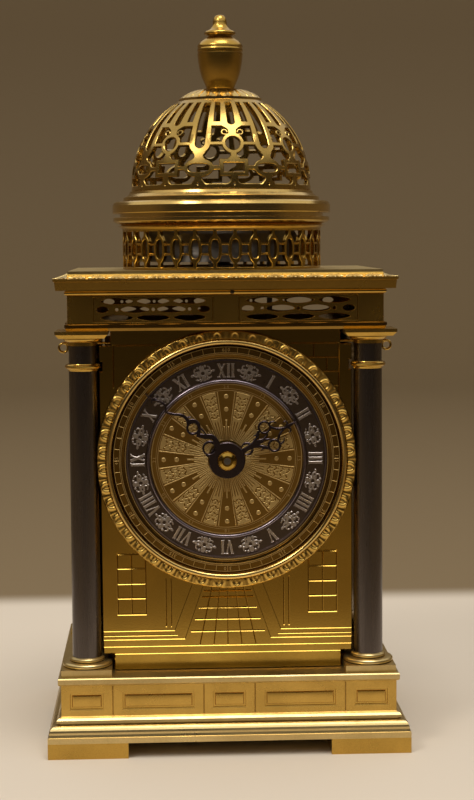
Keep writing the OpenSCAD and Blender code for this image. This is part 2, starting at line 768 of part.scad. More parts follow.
module dome_cap() {
    r = cap_r;
    pitch = 360 / cap_lobes;
    color("gold") translate([0, 0, z_cap]) difference() {
        rotate_extrude($fn = 96)
            polygon([[stud_r + rod_gap, 0], [r + 0.3, 0], [r + 0.3, 0.6], [r - 0.2, 0.7], [r - 0.2, 1.4],
                     [r - 2.6, 2.7], [12.9, 3.7], [8.6, 4.6], [6.6, cap_h], [stud_r + rod_gap, cap_h]]);
        for (i = [0 : cap_lobes - 1]) rotate(i * pitch) translate([r - 1.1, 0, 1.15]) rotate([0, 90, 0])
            cylinder(h = 3, r = 0.55);
    }
}

module finial() {
    k = finial_h / 33.4;
    r = finial_r / 10.4;
    color("goldenrod") {
        translate([0, 0, z_cap]) cylinder(h = cap_h, r = stud_r);
        translate([0, 0, z_finial]) rotate_extrude($fn = 64)
            polygon([for (p = concat([[0, 0], [6.3, 0], [6.5, 0.6], [7.4, 2.6], [8.8, 6.2], [9.8, 10],
                [10.2, 13.6], [10.4, 15.2], [10.4, 15.9], [10.15, 16.3], [10.15, 16.8], [10.4, 17.2],
                [10.4, 18.2], [10.2, 18.6], [10.4, 19.2], [9.8, 20.4], [8.4, 21.9], [6.5, 23],
                [5.4, 23.5], [5.4, 24], [7.2, 24.8], [7.2, 25.4], [6.7, 26], [4.5, 27.1], [3.3, 28.6],
                [3.1, 30.4], [2.6, 32.3]], [[1.7, 33.4], [0, 33.4]])) [p[0] * r, p[1] * k]]);
    }
}

// The outline shared by the front and back plates: a slab with its edges
// cut away round the bases, neck rings and capitals of the columns
module wall_plate(y0, y1) {
    cuts = [[notch_x, z_floor, notch_low_z], [ring_notch_x, ring_notch_low, ring_notch_high],
            [notch_x, notch_high_z, z_architrave]];
    difference() {
        translate([-plate_half_w, y0, wall_bottom_z])
            cube([2 * plate_half_w, y1 - y0, wall_top_z - wall_bottom_z]);
        for (sx = [0, 1], c = cuts) mirror([sx, 0, 0]) translate([c[0], y0 - 1, c[1]])
            cube([plate_half_w - c[0] + 1, y1 - y0 + 2, c[2] - c[1]]);
    }
}

module front_plate() {
    color("darkgoldenrod") difference() {
        union() {
            wall_plate(front_y, front_back_y);
            translate([catch_x - catch_w / 2, front_y + 0.2, z_floor - 2.4])
                cube([catch_w, catch_t, 2.4 + 1]);
        }
        y_cylinder(0, dial_z, dial_bore, front_y - eps, front_back_y + eps);
        for (sx = [-1, 1]) translate([sx * (lock_in_x - 0.4), lock_y, lock_z])
            rotate([0, sx * 90, 0]) cylinder(h = lock_depth + 1, r = lock_pin_r + running_gap);
    }
}

module back_plate() {
    color("darkgoldenrod") difference() {
        wall_plate(-front_back_y, -front_y);
        for (sx = [-1, 1]) y_cylinder(sx * barrel_x, barrel_z, winding_hole_r,
                                      -front_back_y - eps, -front_y + eps);
    }
}

// A turned ring round the dial centre, from points of radius and height
// in front of the front plate
module dial_turned(points) {
    translate([0, dial_y, dial_z]) rotate([90, 0, 0]) rotate_extrude($fn = 96) polygon(points);
}

module dial_bezel() {
    r = bezel_r;
    in = bezel_inner_r;
    pitch = 360 / bezel_eggs;
    color("gold") difference() {
        dial_turned(concat([[in, 0], [r, 0], [r, 0.9], [r - 0.5, 1.6], [r - 3.4, bezel_t - 2]],
                           arc(in + 1.05, bezel_t - 1, 0.95, -20, 180, 6)));
        for (i = [0 : bezel_eggs - 1]) translate([0, dial_y, dial_z]) rotate([90, 0, 0])
            rotate((i + 0.5) * pitch) translate([r - 3.6, 0, bezel_t - 1.7]) rotate([0, 123, 0])
                cylinder(h = 5, r = 0.5, $fn = 8);
    }
}

module minute_ring() {
    r = bezel_inner_r - 0.1;
    in = chapter_r + 0.1;
    t = minute_ring_t;
    color("goldenrod") dial_turned([[in, 0], [r, 0], [r, t], [r - 2.9, t], [r - 3.2, t - 0.5],
                                    [in + 1, t - 0.9], [in + 0.6, t - 0.4], [in, t - 0.4]]);
}

module chapter_ring() {
    r = chapter_r;
    in = chapter_inner_r;
    t = chapter_t;
    color("dimgray") dial_turned([[in, 0], [r, 0], [r, t], [r - 1.4, t], [r - 1.8, t - 0.6],
                                  [in + 2, t - 0.6], [in + 1.6, t], [in, t]]);
}

module centre_plate() {
    color("goldenrod") dial_turned([[dial_bore, 0], [chapter_inner_r - 0.1, 0],
                                    [chapter_inner_r - 0.1, centre_plate_t], [dial_bore, centre_plate_t]]);
}

pillar_r = 3;
pillar_screw_r = 1.2;
leg_inner_x = train_half_w - 14;
leg_top_z = z_floor + 41;
pillar_at = [for (sx = [-1, 1]) each [[sx * (train_half_w - 4), train_top_z - 6],
                                      [sx * (train_half_w - 7), leg_top_z + 7.7]]];
pivot_bore = arbor_r + running_gap;
winder_r = 2.5;

// Where each arbor crosses the train plates, with its radius
pivots = [[0, dial_z, arbor_r], [third_x, third_z, arbor_r], [-barrel_x, barrel_z, winder_r],
          [barrel_x, barrel_z, winder_r], [pin_x, pin_z, arbor_r], [fly_x, fly_z, arbor_r],
          [hammer_x, hammer_z, arbor_r]];

module train_plate(y0, y1) {
    difference() {
        translate([-train_half_w, y0, z_floor])
            cube([2 * train_half_w, y1 - y0, train_top_z - z_floor]);
        translate([-leg_inner_x, y0 - 1, z_floor - 1])
            cube([2 * leg_inner_x, y1 - y0 + 2, leg_top_z - z_floor + 1]);
        for (p = pivots) y_cylinder(p[0], p[1], p[2] + running_gap, y0 - eps, y1 + eps);
        for (p = pillar_at) y_cylinder(p[0], p[1], pillar_screw_r, y0 - eps, y1 + eps);
    }
}

module train_front_plate() {
    color("peru") difference() {
        union() {
            train_plate(train_front_y, train_in_front);
            y_cylinder(motion_distance, dial_z, arbor_r, front_back_y + 0.6, train_front_y + eps);
        }
        y_cylinder(0, crown_z, pivot_bore, train_front_y - eps, train_in_front + eps);
    }
}

module train_back_plate() {
    color("peru") train_plate(train_in_back, train_back_y);
}

module train_pillars() {
    color("goldenrod") for (p = pillar_at) {
        y_cylinder(p[0], p[1], pillar_r, train_in_front, train_in_back);
        y_cylinder(p[0], p[1], pillar_screw_r - 0.02, train_front_y - 0.4, train_back_y + 0.4);
        for (y = [train_front_y - 1.6, train_back_y]) y_cylinder(p[0], p[1], 2.2, y, y + 1.6);
    }
}

verge_low_z = crown_z - 15;
verge_high_z = crown_z + 15;
cock_h = 3;

module verge_cocks() {
    color("goldenrod") for (z = [verge_low_z - cock_h / 2, verge_high_z - cock_h / 2]) difference() {
        translate([-3.5, verge_y - 3.5, z]) cube([7, train_in_back - verge_y + 3.5, cock_h]);
        translate([0, verge_y, z - eps]) cylinder(h = cock_h + 2 * eps, r = pivot_bore);
    }
}

potence_t = 1.5;

module crown_potence() {
    color("goldenrod") difference() {
        union() {
            translate([-3, potence_y, crown_z - 3]) cube([6, potence_t, 13.5]);
            translate([-3, train_in_front, crown_z + 7]) cube([6, potence_y - train_in_front, 3.5]);
        }
        y_cylinder(0, crown_z, pivot_bore, potence_y - eps, potence_y + potence_t + eps);
    }
}

stand_t = 2;
stem_top_z = bell_z + bell_h + 4.5;
// The bell rests on the stem's shoulder, where its crown is still a little bowed
bell_seat_z = bell_z + bell_h - bell_wall - 0.3;

module bell_stand() {
    color("peru") {
        translate([-5, -stand_half_l, z_drum]) cube([10, 2 * stand_half_l, stand_t]);
        translate([0, 0, z_drum]) cylinder(h = bell_seat_z - z_drum, r = stem_r + 1.5);
        translate([0, 0, z_drum]) cylinder(h = stem_top_z - z_drum, r = stem_r);
    }
}

module bell() {
    ri = bell_r - bell_wall;
    hi = bell_h - bell_wall;
    n = 10;
    color("slategray") translate([0, 0, bell_z]) rotate_extrude($fn = 96)
        polygon(concat([[bell_r + bell_lip, 0]],
                       [for (i = [1 : n]) let (a = 85 * i / n) [bell_r * cos(a), bell_h * sin(a)]],
                       [[stem_r + rod_gap, bell_h], [stem_r + rod_gap, hi]],
                       [for (i = [n : -1 : 1]) let (a = 83 * i / n) [ri * cos(a), hi * sin(a)]],
                       [[ri, 0]]));
}

module bell_nut() {
    color("gray") translate([0, 0, bell_z + bell_h]) difference() {
        cylinder(h = 3.5, r = 4.6, $fn = 6);
        translate([0, 0, -eps]) cylinder(h = 3.6 + eps, r = stem_r);
    }
}

hinge_reach = 1.8;
knob_z = (z_floor + z_architrave) / 2;

// The right side door, with its edges cut away like the plates', its two
// hinge pins and a turned knob; the left door is its mirror image
module side_door() {
    cuts = [[notch_y, z_floor, notch_low_z], [ring_notch_y, ring_notch_low, ring_notch_high],
            [notch_y, notch_high_z, z_architrave]];
    difference() {
        translate([door_in_x, -door_half_d, wall_bottom_z])
            cube([door_t, 2 * door_half_d, wall_top_z - wall_bottom_z]);
        for (sy = [0, 1], c = cuts) mirror([0, sy, 0]) translate([door_in_x - 1, c[0], c[1]])
            cube([door_t + 2, door_half_d - c[0] + 1, c[2] - c[1]]);
    }
    for (z = [z_floor - hinge_reach, wall_top_z - 1]) translate([door_x, door_axis_y, z])
        cylinder(h = hinge_reach + wall_gap_z + 1, r = hinge_pin_r);
    translate([door_in_x + door_t, -(notch_y - 6), knob_z]) rotate([0, 90, 0]) rotate_extrude($fn = 32)
        polygon([[0, -0.2], [2.6, -0.2], [2.6, 0.6], [1.3, 1.2], [1.2, 2], [2.2, 2.8], [2.5, 3.8],
                 [2, 4.8], [0.8, 5.4], [0, 5.5]]);
}

module right_door() {
    color("darkgoldenrod") side_door();
}

module left_door() {
    color("darkgoldenrod") mirror([1, 0, 0]) side_door();
}

// A wire pin whose outer end is curled into a ring
module lock_pin() {
    translate([lock_in_x, lock_y, lock_z]) rotate([0, 90, 0])
        cylinder(h = lock_ring_x - lock_in_x, r = lock_pin_r);
    translate([lock_ring_x, lock_y, lock_z - lock_ring_r]) rotate([90, 0, 0]) rotate_extrude($fn = 64)
        translate([lock_ring_r, 0]) circle(r = lock_pin_r - 0.1, $fn = 40);
}

module right_lock_pin() {
    color("gray") lock_pin();
}

module left_lock_pin() {
    color("gray") mirror([1, 0, 0]) lock_pin();
}

// A flat hand cut from plate, pointing up before it is turned
module hand_plate(y, angle) {
    translate([0, y + hand_t, dial_z]) rotate([90, 0, 0]) rotate(-angle) linear_extrude(hand_t) children();
}

// A round wire loop in a hand
module hand_loop(x, y, r, w) {
    translate([x, y]) difference() {
        circle(r = r);
        circle(r = r - w);
    }
}

// A straight bar of a hand between two points
module hand_bar(a, b, w) {
    d = b - a;
    translate(a) rotate(atan2(d[1], d[0])) translate([0, -w / 2]) square([norm(d), w]);
}

// The minute hand's wavy spine: how far aside, and the share of its length
minute_spine = [[1, 0.152], [0.6, 0.32], [-2.2, 0.385], [-1.8, 0.485], [2.2, 0.582], [0.4, 0.69],
                [-1.6, 0.755], [1.6, 0.865], [0, 1]];

module minute_hand() {
    l = minute_hand_l;
    color("dimgray") hand_plate(minute_hand_y, minute_angle) difference() {
        union() {
            circle(r = hand_boss_r);
            hand_loop(-2.6, l * 0.217, 3, 1);
            hand_loop(1.6, l * 0.435, 3.2, 1);
            for (i = [0 : len(minute_spine) - 2]) let (a = minute_spine[i], b = minute_spine[i + 1])
                hand_bar([a[0], a[1] * l], [b[0], b[1] * l], 1.8 - 0.12 * i);
        }
        circle(r = pipe_r);
    }
}

module hour_hand() {
    l = hour_hand_l;
    color("dimgray") hand_plate(hour_hand_y, hour_angle) difference() {
        union() {
            circle(r = hand_boss_r);
            hand_bar([0, 6], [0, l * 0.43], 2.2);
            for (s = [-1, 1]) {
                hand_bar([0, l * 0.4], [s * 3.4, l * 0.525], 1.5);
                hand_loop(s * 4.4, l * 0.595, 2.9, 1);
                hand_bar([s * 3.2, l * 0.663], [0, l * 0.73], 1.4);
            }
            hand_bar([0, l * 0.7], [0, l], 1.2);
            hand_bar([-1.6, l - 3.4], [1.6, l - 3.4], 0.8);
        }
        circle(r = hour_pipe_r - 0.9);
    }
}

nut_face_r = 4.2;

module hand_nut() {
    color("gold") translate([0, minute_hand_y, dial_z]) rotate([90, 0, 0]) rotate_extrude()
        polygon([[pivot_bore, 0], [nut_face_r, 0], [nut_face_r, 1.2], [nut_face_r - 0.5, 1.8],
                 [arbor_r + 0.9, 2.4], [arbor_r + 0.5, 2], [pivot_bore, 2]]);
}

module centre_arbor() {
    color("gray") {
        y_cylinder(0, dial_z, arbor_r, minute_hand_y - 2.8, train_back_y + 0.6);
        y_wheel(0, dial_z, centre_pinion_teeth, great_module, barrel_y1 - 3, barrel_y1 + great_t + 4,
                gap_turn(great_line, centre_pinion_teeth));
    }
}

module centre_wheel() {
    r = centre_teeth * centre_module / 2;
    color("gold") difference() {
        y_wheel(0, dial_z, centre_teeth, centre_module, centre_wheel_y, centre_wheel_y + wheel_t,
                third_line, arbor_r);
        y_windows(0, dial_z, 5, 5, r - 3, centre_wheel_y, centre_wheel_y + wheel_t);
    }
}

cannon_front_y = minute_hand_y;

module cannon_pinion() {
    color("gray") difference() {
        union() {
            y_wheel(0, dial_z, cannon_teeth, motion_module, front_back_y + 4, train_front_y - 0.5,
                    180 / cannon_teeth);
            y_cylinder(0, dial_z, pipe_r, cannon_front_y, front_back_y + 5);
        }
        y_cylinder(0, dial_z, pivot_bore, cannon_front_y - 1, train_front_y);
    }
}

hour_wheel_y = front_back_y + 1.3;
hour_wheel_t = 1.5;

module hour_wheel() {
    color("gold") difference() {
        union() {
            y_wheel(0, dial_z, hour_teeth, hour_module, hour_wheel_y, hour_wheel_y + hour_wheel_t,
                    180 / hour_teeth);
            y_cylinder(0, dial_z, hour_pipe_r, hour_hand_y + hand_t, hour_wheel_y + eps);
            y_cylinder(0, dial_z, hour_pipe_r - 0.9, hour_hand_y, hour_hand_y + hand_t + eps);
        }
        y_cylinder(0, dial_z, hour_pipe_bore, hour_hand_y - 1, hour_wheel_y + hour_wheel_t + 1);
    }
}

minute_wheel_y = front_back_y + 5;

module minute_wheel() {
    color("gold") difference() {
        union() {
            y_wheel(motion_distance, dial_z, minute_teeth, motion_module, minute_wheel_y,
                    minute_wheel_y + 1.5);
            y_wheel(motion_distance, dial_z, minute_pinion_teeth, hour_module, hour_wheel_y - 0.6,
                    minute_wheel_y + eps);
        }
        y_cylinder(motion_distance, dial_z, pivot_bore, hour_wheel_y - 2, minute_wheel_y + 2);
    }
}

ratchet_teeth = 16;
winder_end_y = -front_back_y - 1.2;

// A spring barrel with its great wheel at one end, turning on its winder
module barrel(x, wheel_y, turn) {
    difference() {
        union() {
            y_cylinder(x, barrel_z, barrel_r, barrel_y0, barrel_y1);
            y_wheel(x, barrel_z, great_teeth, great_module, wheel_y, wheel_y + great_t, turn);
        }
        y_cylinder(x, barrel_z, winder_r + running_gap, barrel_y0 - 5, barrel_y1 + 5);
    }
}

// A winding arbor with a squared end and its ratchet
module winder(x) {
    side = winder_r * 1.7;
    y_cylinder(x, barrel_z, winder_r, train_front_y - 1, train_back_y + 4);
    translate([x - side / 2, train_back_y + 3.9, barrel_z - side / 2])
        cube([side, winder_end_y - train_back_y - 3.9, side]);
    translate([x, train_back_y + 2.8, barrel_z]) rotate([90, 0, 0]) linear_extrude(2)
        polygon([for (i = [0 : ratchet_teeth - 1], k = [0, 1])
            let (a = (i + k * 0.12) * 360 / ratchet_teeth, r = k == 0 ? 6.4 : 8)
                [r * cos(a), r * sin(a)]]);
}

module going_barrel() {
    color("goldenrod") barrel(-barrel_x, barrel_y1, great_line);
}

module going_winder() {
    color("gray") winder(-barrel_x);
}

module strike_barrel() {
    color("goldenrod") barrel(barrel_x, barrel_y0 - great_t, pin_line);
}

module strike_winder() {
    color("gray") winder(barrel_x);
}

module third_wheel() {
    r = third_teeth * third_module / 2;
    color("gold") {
        y_cylinder(third_x, third_z, arbor_r, train_front_y - 0.6, train_back_y + 0.6);
        y_wheel(third_x, third_z, third_pinion_teeth, centre_module, centre_wheel_y - 1,
                third_wheel_y + eps, gap_turn(third_line, third_pinion_teeth));
        difference() {
            y_wheel(third_x, third_z, third_teeth, third_module, third_wheel_y, third_wheel_y + wheel_t,
                    crown_line);
            y_windows(third_x, third_z, 4, 4.4, r - 2.6, third_wheel_y, third_wheel_y + wheel_t);
        }
    }
}

module crown_wheel() {
    color("gold") {
        y_cylinder(0, crown_z, arbor_r, train_front_y - 0.6, crown_y + 6);
        y_wheel(0, crown_z, crown_pinion_teeth, third_module, third_wheel_y - 1, potence_y - 0.4,
                gap_turn(crown_line, crown_pinion_teeth));
        y_cylinder(0, crown_z, crown_r, crown_y, crown_y + 1.4);
        difference() {
            y_cylinder(0, crown_z, crown_r, crown_y + 1, crown_y + crown_l);
            y_cylinder(0, crown_z, crown_r - 1.2, crown_y + 1.4, crown_y + crown_l + 0.4);
            for (i = [0 : crown_teeth - 1]) translate([0, crown_y + 4, crown_z])
                rotate([0, (i + 0.5) * 360 / crown_teeth, 0]) translate([0, 0, crown_r - 2])
                    linear_extrude(4) polygon([[-1.5, 4], [-0.2, 0], [1.5, 4]]);
        }
        y_cylinder(0, crown_z, arbor_r + 0.8, crown_y, crown_y + 5);
    }
}

pallet_r = 2.9;
balance_r = 16;
balance_z = train_top_z + 3;

module balance() {
    color("gold") {
        translate([0, verge_y, verge_low_z - 3]) cylinder(h = balance_z + 3 - verge_low_z + 3, r = arbor_r);
        for (s = [-1, 1]) translate([0, verge_y, crown_z + s * (crown_r - 0.6) - 1.2])
            rotate(s * 50 + 90) translate([0, -0.5, 0]) cube([pallet_r, 1, 2.4]);
        translate([0, verge_y, balance_z]) {
            difference() {
                cylinder(h = 2, r = balance_r);
                translate([0, 0, -eps]) cylinder(h = 2 + 2 * eps, r = balance_r - 2.2);
            }
            translate([-balance_r + 1, -1.2, 0]) cube([2 * balance_r - 2, 2.4, 2]);
            translate([0, 0, -0.8]) cylinder(h = 3.6, r = 3);
        }
    }
}

module pin_wheel() {
    r = pin_wheel_teeth * fly_module / 2;
    color("gold") {
        y_cylinder(pin_x, pin_z, arbor_r, train_front_y - 0.6, train_back_y + 0.6);
        y_wheel(pin_x, pin_z, centre_pinion_teeth, great_module, barrel_y0 - great_t - 1,
                barrel_y0 + 0.5, gap_turn(pin_line, centre_pinion_teeth));
        difference() {
            y_wheel(pin_x, pin_z, pin_wheel_teeth, fly_module, pin_wheel_y, pin_wheel_y + wheel_t,
                    fly_line);
            y_windows(pin_x, pin_z, 4, 3.4, 8.8, pin_wheel_y, pin_wheel_y + wheel_t);
        }
        for (i = [0 : 7]) y_cylinder(pin_x + (r - 3) * cos(i * 45), pin_z + (r - 3) * sin(i * 45), 0.8,
                                     pin_wheel_y, pin_wheel_y + wheel_t + 3);
    }
}

vane_w = 16;
vane_t = 1;
vane_y0 = barrel_y0 + 5;
vane_y1 = pin_wheel_y - 5;

module fly() {
    color("gray") {
        y_cylinder(fly_x, fly_z, arbor_r, train_front_y - 0.6, train_back_y + 0.6);
        y_wheel(fly_x, fly_z, fly_pinion_teeth, fly_module, pin_wheel_y - 1, pin_wheel_y + wheel_t + 1,
                gap_turn(fly_line, fly_pinion_teeth));
        translate([fly_x - vane_w / 2, vane_y0, fly_z - vane_t / 2])
            cube([vane_w, vane_y1 - vane_y0, vane_t]);
    }
}

head_r = 3;
head_l = 7;
hammer_gap = 0.5;
tail_w = 2;
tail_l = 14;

module hammer() {
    head_z = bell_z + 6;
    bell_in = (bell_r - bell_wall) * sqrt(1 - (6 / (bell_h - bell_wall)) ^ 2);
    color("gray") {
        y_cylinder(hammer_x, hammer_z, arbor_r, train_front_y - 0.6, train_back_y + 0.6);
        translate([hammer_x - 1.2, -1.2, hammer_z]) cube([2.4, 2.4, head_z - hammer_z + 1]);
        translate([hammer_x - 1.2, 0, head_z]) rotate([0, 90, 0])
            cylinder(h = bell_in - hammer_gap - 1 - hammer_x + 1.2, r = 1.2);
        translate([bell_in - hammer_gap - head_l, 0, head_z]) rotate([0, 90, 0]) rotate_extrude()
            polygon([[0, 0], [2.2, 0], [head_r, 0.8], [head_r, 4.6], [1.8, 6.4], [0, head_l]]);
        translate([hammer_x, pin_wheel_y + wheel_t + 2, hammer_z]) rotate([0, 156, 0])
            translate([-tail_w / 2, 0, 0]) cube([tail_w, tail_w, tail_l]);
    }
}

corner_feet();
base_moulding();
base_floor();
base_dado();
base_ledge();
column_bases();
column_shafts();
column_astragals();
column_capitals();
tie_rods();
tie_nuts();
architrave();
frieze();
cornice();
top_plate();
drum();
drum_cornice();
front_plate();
back_plate();
dial_bezel();
minute_ring();
chapter_ring();
centre_plate();
train_front_plate();
train_back_plate();
train_pillars();
verge_cocks();
crown_potence();
bell_stand();
bell();
bell_nut();
left_door();
right_door();
left_lock_pin();
right_lock_pin();
dome_ring();
dome_shell();
dome_cap();
finial();
minute_hand();
hand_nut();
centre_arbor();
centre_wheel();
cannon_pinion();
hour_hand();
hour_wheel();
minute_wheel();
going_barrel();
going_winder();
third_wheel();
crown_wheel();
balance();
strike_barrel();
strike_winder();
pin_wheel();
fly();
hammer();
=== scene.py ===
"""Gilt table clock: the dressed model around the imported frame.

Lengths in this file are millimetres until a mesh is finished, where they
become metres. The clock's front faces -Y and its height runs along +Z.
"""

import json
import logging
import math
from collections.abc import Callable, Iterable, Sequence
from dataclasses import dataclass, field
from enum import Enum

import bpy
from mathutils import Matrix, Vector
from mathutils.geometry import delaunay_2d_cdt

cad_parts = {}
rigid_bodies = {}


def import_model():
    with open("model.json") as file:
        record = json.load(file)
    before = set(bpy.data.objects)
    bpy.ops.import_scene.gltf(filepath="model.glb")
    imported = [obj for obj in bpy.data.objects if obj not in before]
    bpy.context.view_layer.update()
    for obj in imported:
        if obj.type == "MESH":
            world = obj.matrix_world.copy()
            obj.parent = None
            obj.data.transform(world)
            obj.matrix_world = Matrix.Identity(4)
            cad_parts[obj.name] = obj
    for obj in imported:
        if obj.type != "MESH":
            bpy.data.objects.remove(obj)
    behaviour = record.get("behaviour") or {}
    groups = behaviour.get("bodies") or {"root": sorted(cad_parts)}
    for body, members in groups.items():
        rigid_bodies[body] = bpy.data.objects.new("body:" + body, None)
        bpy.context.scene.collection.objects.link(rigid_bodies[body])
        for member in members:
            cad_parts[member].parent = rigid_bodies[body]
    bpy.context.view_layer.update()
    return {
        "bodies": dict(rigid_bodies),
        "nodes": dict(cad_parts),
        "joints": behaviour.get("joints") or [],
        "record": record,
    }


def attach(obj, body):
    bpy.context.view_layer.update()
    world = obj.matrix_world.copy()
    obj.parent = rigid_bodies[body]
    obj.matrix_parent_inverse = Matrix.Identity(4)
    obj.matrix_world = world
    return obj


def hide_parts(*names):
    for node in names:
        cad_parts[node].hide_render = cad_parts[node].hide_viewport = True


log = logging.getLogger("table_clock")

# A millimetre, in metres.
MM = 0.001
# Points nearer than this, in millimetres, count as one.
CLOSE = 1e-3
# A point this near to a seam, in millimetres, lies on it.
ON_SEAM = 1e-4
# The triangulation joins points nearer than this, in millimetres.
JOINED = 1e-5
# A length below this, in millimetres, is none.
NOTHING = 1e-6
# Triangles smaller than this, in square millimetres, are dropped.
SLIVER = 1e-9
# Points of neighbouring copies nearer than this, in metres, become one.
WELD = 4e-6
# A bevel's inset grows at a sharp corner, up to the bevel over this.
LEAST_MITRE = 0.45
# Inner points of a sheet keep this many bevels from its edges.
CLEARANCE = 1.6
# Faces round the dial's rings, and round most other turned pieces.
FINE, ROUND = 144, 96
# Sockets of a Mix node that mixes colours: its two colours and its result.
MIX_A, MIX_B, MIX_OUT = 6, 7, 2

Flat = tuple[float, float]
Ring = list[Flat]
Faces = list[tuple[int, ...]]
Solid = tuple[list[Vector], Faces]
Place = Callable[[float, float, float], Vector]


class Body(Enum):
    """The moving bodies that a visible piece can ride on."""

    CASE = "case"
    DOME = "dome"
    MINUTE = "minute"
    HOUR = "hour"
    LEFT_DOOR = "left_door"
    RIGHT_DOOR = "right_door"


class Slot(Enum):
    """The record's material slots named for the new pieces, which nothing here applies."""

    GILT = "gilt_brass"
    TRIM = "gilt_trim"
    DARK = "dark_steel"
    SILVERED = "silvered_ring"


# Finishes


def linear(hex_colour: str) -> tuple[float, float, float, float]:
    """Turns an sRGB hex colour into a linear RGBA value.

    Args:
        hex_colour: a colour such as "#C8963A".

    Returns:
        The linear red, green, blue and an alpha of 1.
    """
    parts = [int(hex_colour[i : i + 2], 16) / 255 for i in (1, 3, 5)]
    return (*[p / 12.92 if p < 0.04045 else ((p + 0.055) / 1.055) ** 2.4 for p in parts], 1.0)


def new_material(name: str) -> bpy.types.Material:
    """Returns a new material that is made of nodes."""
    material = bpy.data.materials.new(name)
    material.use_nodes = True
    return material


class Nodes:
    """A node tree of a material or of geometry, under construction."""

    def __init__(self, tree: bpy.types.NodeTree) -> None:
        """Takes a tree and empties it."""
        self.tree = tree
        tree.nodes.clear()

    def add(self, kind: str, links: dict | None = None, **settings: object) -> bpy.types.Node:
        """Adds a node with its settings and links.

        Args:
            kind: the node's type name.
            links: input name or index to a value, or to an output socket.
            **settings: attributes of the node.

        Returns:
            The new node.
        """
        node = self.tree.nodes.new(kind)
        for key, value in settings.items():
            setattr(node, key, value)
        for key, value in (links or {}).items():
            if isinstance(value, bpy.types.NodeSocket):
                self.tree.links.new(value, node.inputs[key])
            else:
                node.inputs[key].default_value = value
        return node


@dataclass(frozen=True)
class Metal:
    """A metal surface: broad toning, fine grain, and painted shade with dirt in the recesses.

    Colours are sRGB hex values, and lengths are millimetres.

    Attributes:
        name: what the real finish is called.
        body: the commonest colour.
        tone: the colour of the toned patches.
        shade_and_grime: the colour of the corners, painted shade together with the dirt there.
        smooth: roughness where the surface is handled.
        dull: roughness where it is toned.
        cloud: how strong the toned patches are, from 0 to 1.
        patch: width of the toned patches.
        grain: width of the fine pits, drawn coarser than real ones so that they show.
        relief: depth of the grain.
        corner: how far from a corner the painted shade and dirt reach.
        brush: how much longer the grain is along Z than across it.
        soil: how much rougher the darkened corners are than the metal.
    """

    name: str
    body: str
    tone: str
    shade_and_grime: str
    smooth: float = 0.24
    dull: float = 0.36
    cloud: float = 0.45
    patch: float = 26.0
    grain: float = 0.7
    relief: float = 0.01
    corner: float = 1.4
    brush: float = 1.0
    soil: float = 0.25

    def build(self) -> bpy.types.Material:
        """Builds the material's nodes.

        Returns:
            The finished material.
        """
        material = new_material(self.name)
        s = Nodes(material.node_tree)
        place = s.add("ShaderNodeTexCoord").outputs["Object"]
        drawn = {"Vector": place, "Scale": (1.0, 1.0, 1.0 / self.brush)}
        streak = s.add("ShaderNodeMapping", drawn).outputs["Vector"]
        patches = s.add(
            "ShaderNodeTexNoise",
            {"Vector": streak, "Scale": 1 / (self.patch * MM), "Detail": 6.0, "Roughness": 0.6},
        ).outputs["Fac"]
        pits = s.add(
            "ShaderNodeTexNoise",
            {"Vector": streak, "Scale": 1 / (self.grain * MM), "Detail": 3.0},
        ).outputs["Fac"]
        # Ambient occlusion finds the corners, which are darkened as painted shade together with
        # dirt.
        hollow = s.add(
            "ShaderNodeAmbientOcclusion",
            {"Distance": self.corner * MM},
            samples=6,
            only_local=True,
        ).outputs["AO"]
        # What each measure's low and high value become: how toned the metal is,
        # how bright beside its pits, how dark its corners are with painted shade and dirt, and how
        # rough.
        toning, speck, shade_and_dirt, rough = (
            s.add(
                "ShaderNodeMapRange",
                {"Value": value, "From Min": low, "From Max": high, "To Min": a, "To Max": b},
            ).outputs["Result"]
            for value, low, high, a, b in (
                (patches, 0.35, 0.7, 0.0, self.cloud),
                (pits, 0.25, 0.6, 0.9, 1.0),
                (hollow, 0.15, 0.8, 1.0, 0.0),
                (patches, 0.3, 0.7, self.smooth, self.dull),
            )
        )
        toned = s.add(
            "ShaderNodeMix",
            {"Factor": toning, MIX_A: linear(self.body), MIX_B: linear(self.tone)},
            data_type="RGBA",
        ).outputs[MIX_OUT]
        specked = s.add(
            "ShaderNodeMix",
            {"Factor": 1.0, MIX_A: toned, MIX_B: speck},
            data_type="RGBA",
            blend_type="MULTIPLY",
        ).outputs[MIX_OUT]
        colour = s.add(
            "ShaderNodeMix",
            {"Factor": shade_and_dirt, MIX_A: specked, MIX_B: linear(self.shade_and_grime)},
            data_type="RGBA",
        ).outputs[MIX_OUT]
        soiled = s.add(
            "ShaderNodeMath", {0: shade_and_dirt, 1: self.soil, 2: rough}, operation="MULTIPLY_ADD"
        ).outputs["Value"]
        bump = s.add(
            "ShaderNodeBump",
            {"Height": pits, "Strength": 1.0, "Distance": self.relief * MM},
        ).outputs["Normal"]
        shader = s.add(
            "ShaderNodeBsdfPrincipled",
            {"Base Color": colour, "Metallic": 1.0, "Roughness": soiled, "Normal": bump},
        ).outputs["BSDF"]
        s.add("ShaderNodeOutputMaterial", {"Surface": shader})
        return material


# Fire gilding over cast brass: warm, softly clouded, brown in its corners with painted shade and
# dirt.
GILT = Metal("Fire-gilt brass", "#CCA652", "#A0803A", "#3A260E", smooth=0.17, dull=0.3, corner=0.6)
# Turned mouldings are burnished, so that they are sharper; their paler colour is burnished gilt and
# partly a painted highlight.
BURNISHED_HIGHLIT = Metal(
    "Burnished gilt brass with painted highlight", "#E6C67C", "#C29C54", "#3E2A12", smooth=0.13, dull=0.24, corner=0.5
)
# The base is handled and wiped, so its mouldings are satin; their pale colour is partly real wear
# and partly a painted highlight.
WORN_HIGHLIT = Metal("Worn gilding with painted highlight", "#DEC68C", "#B69A5C", "#4A3618", smooth=0.26, dull=0.4, corner=0.45)
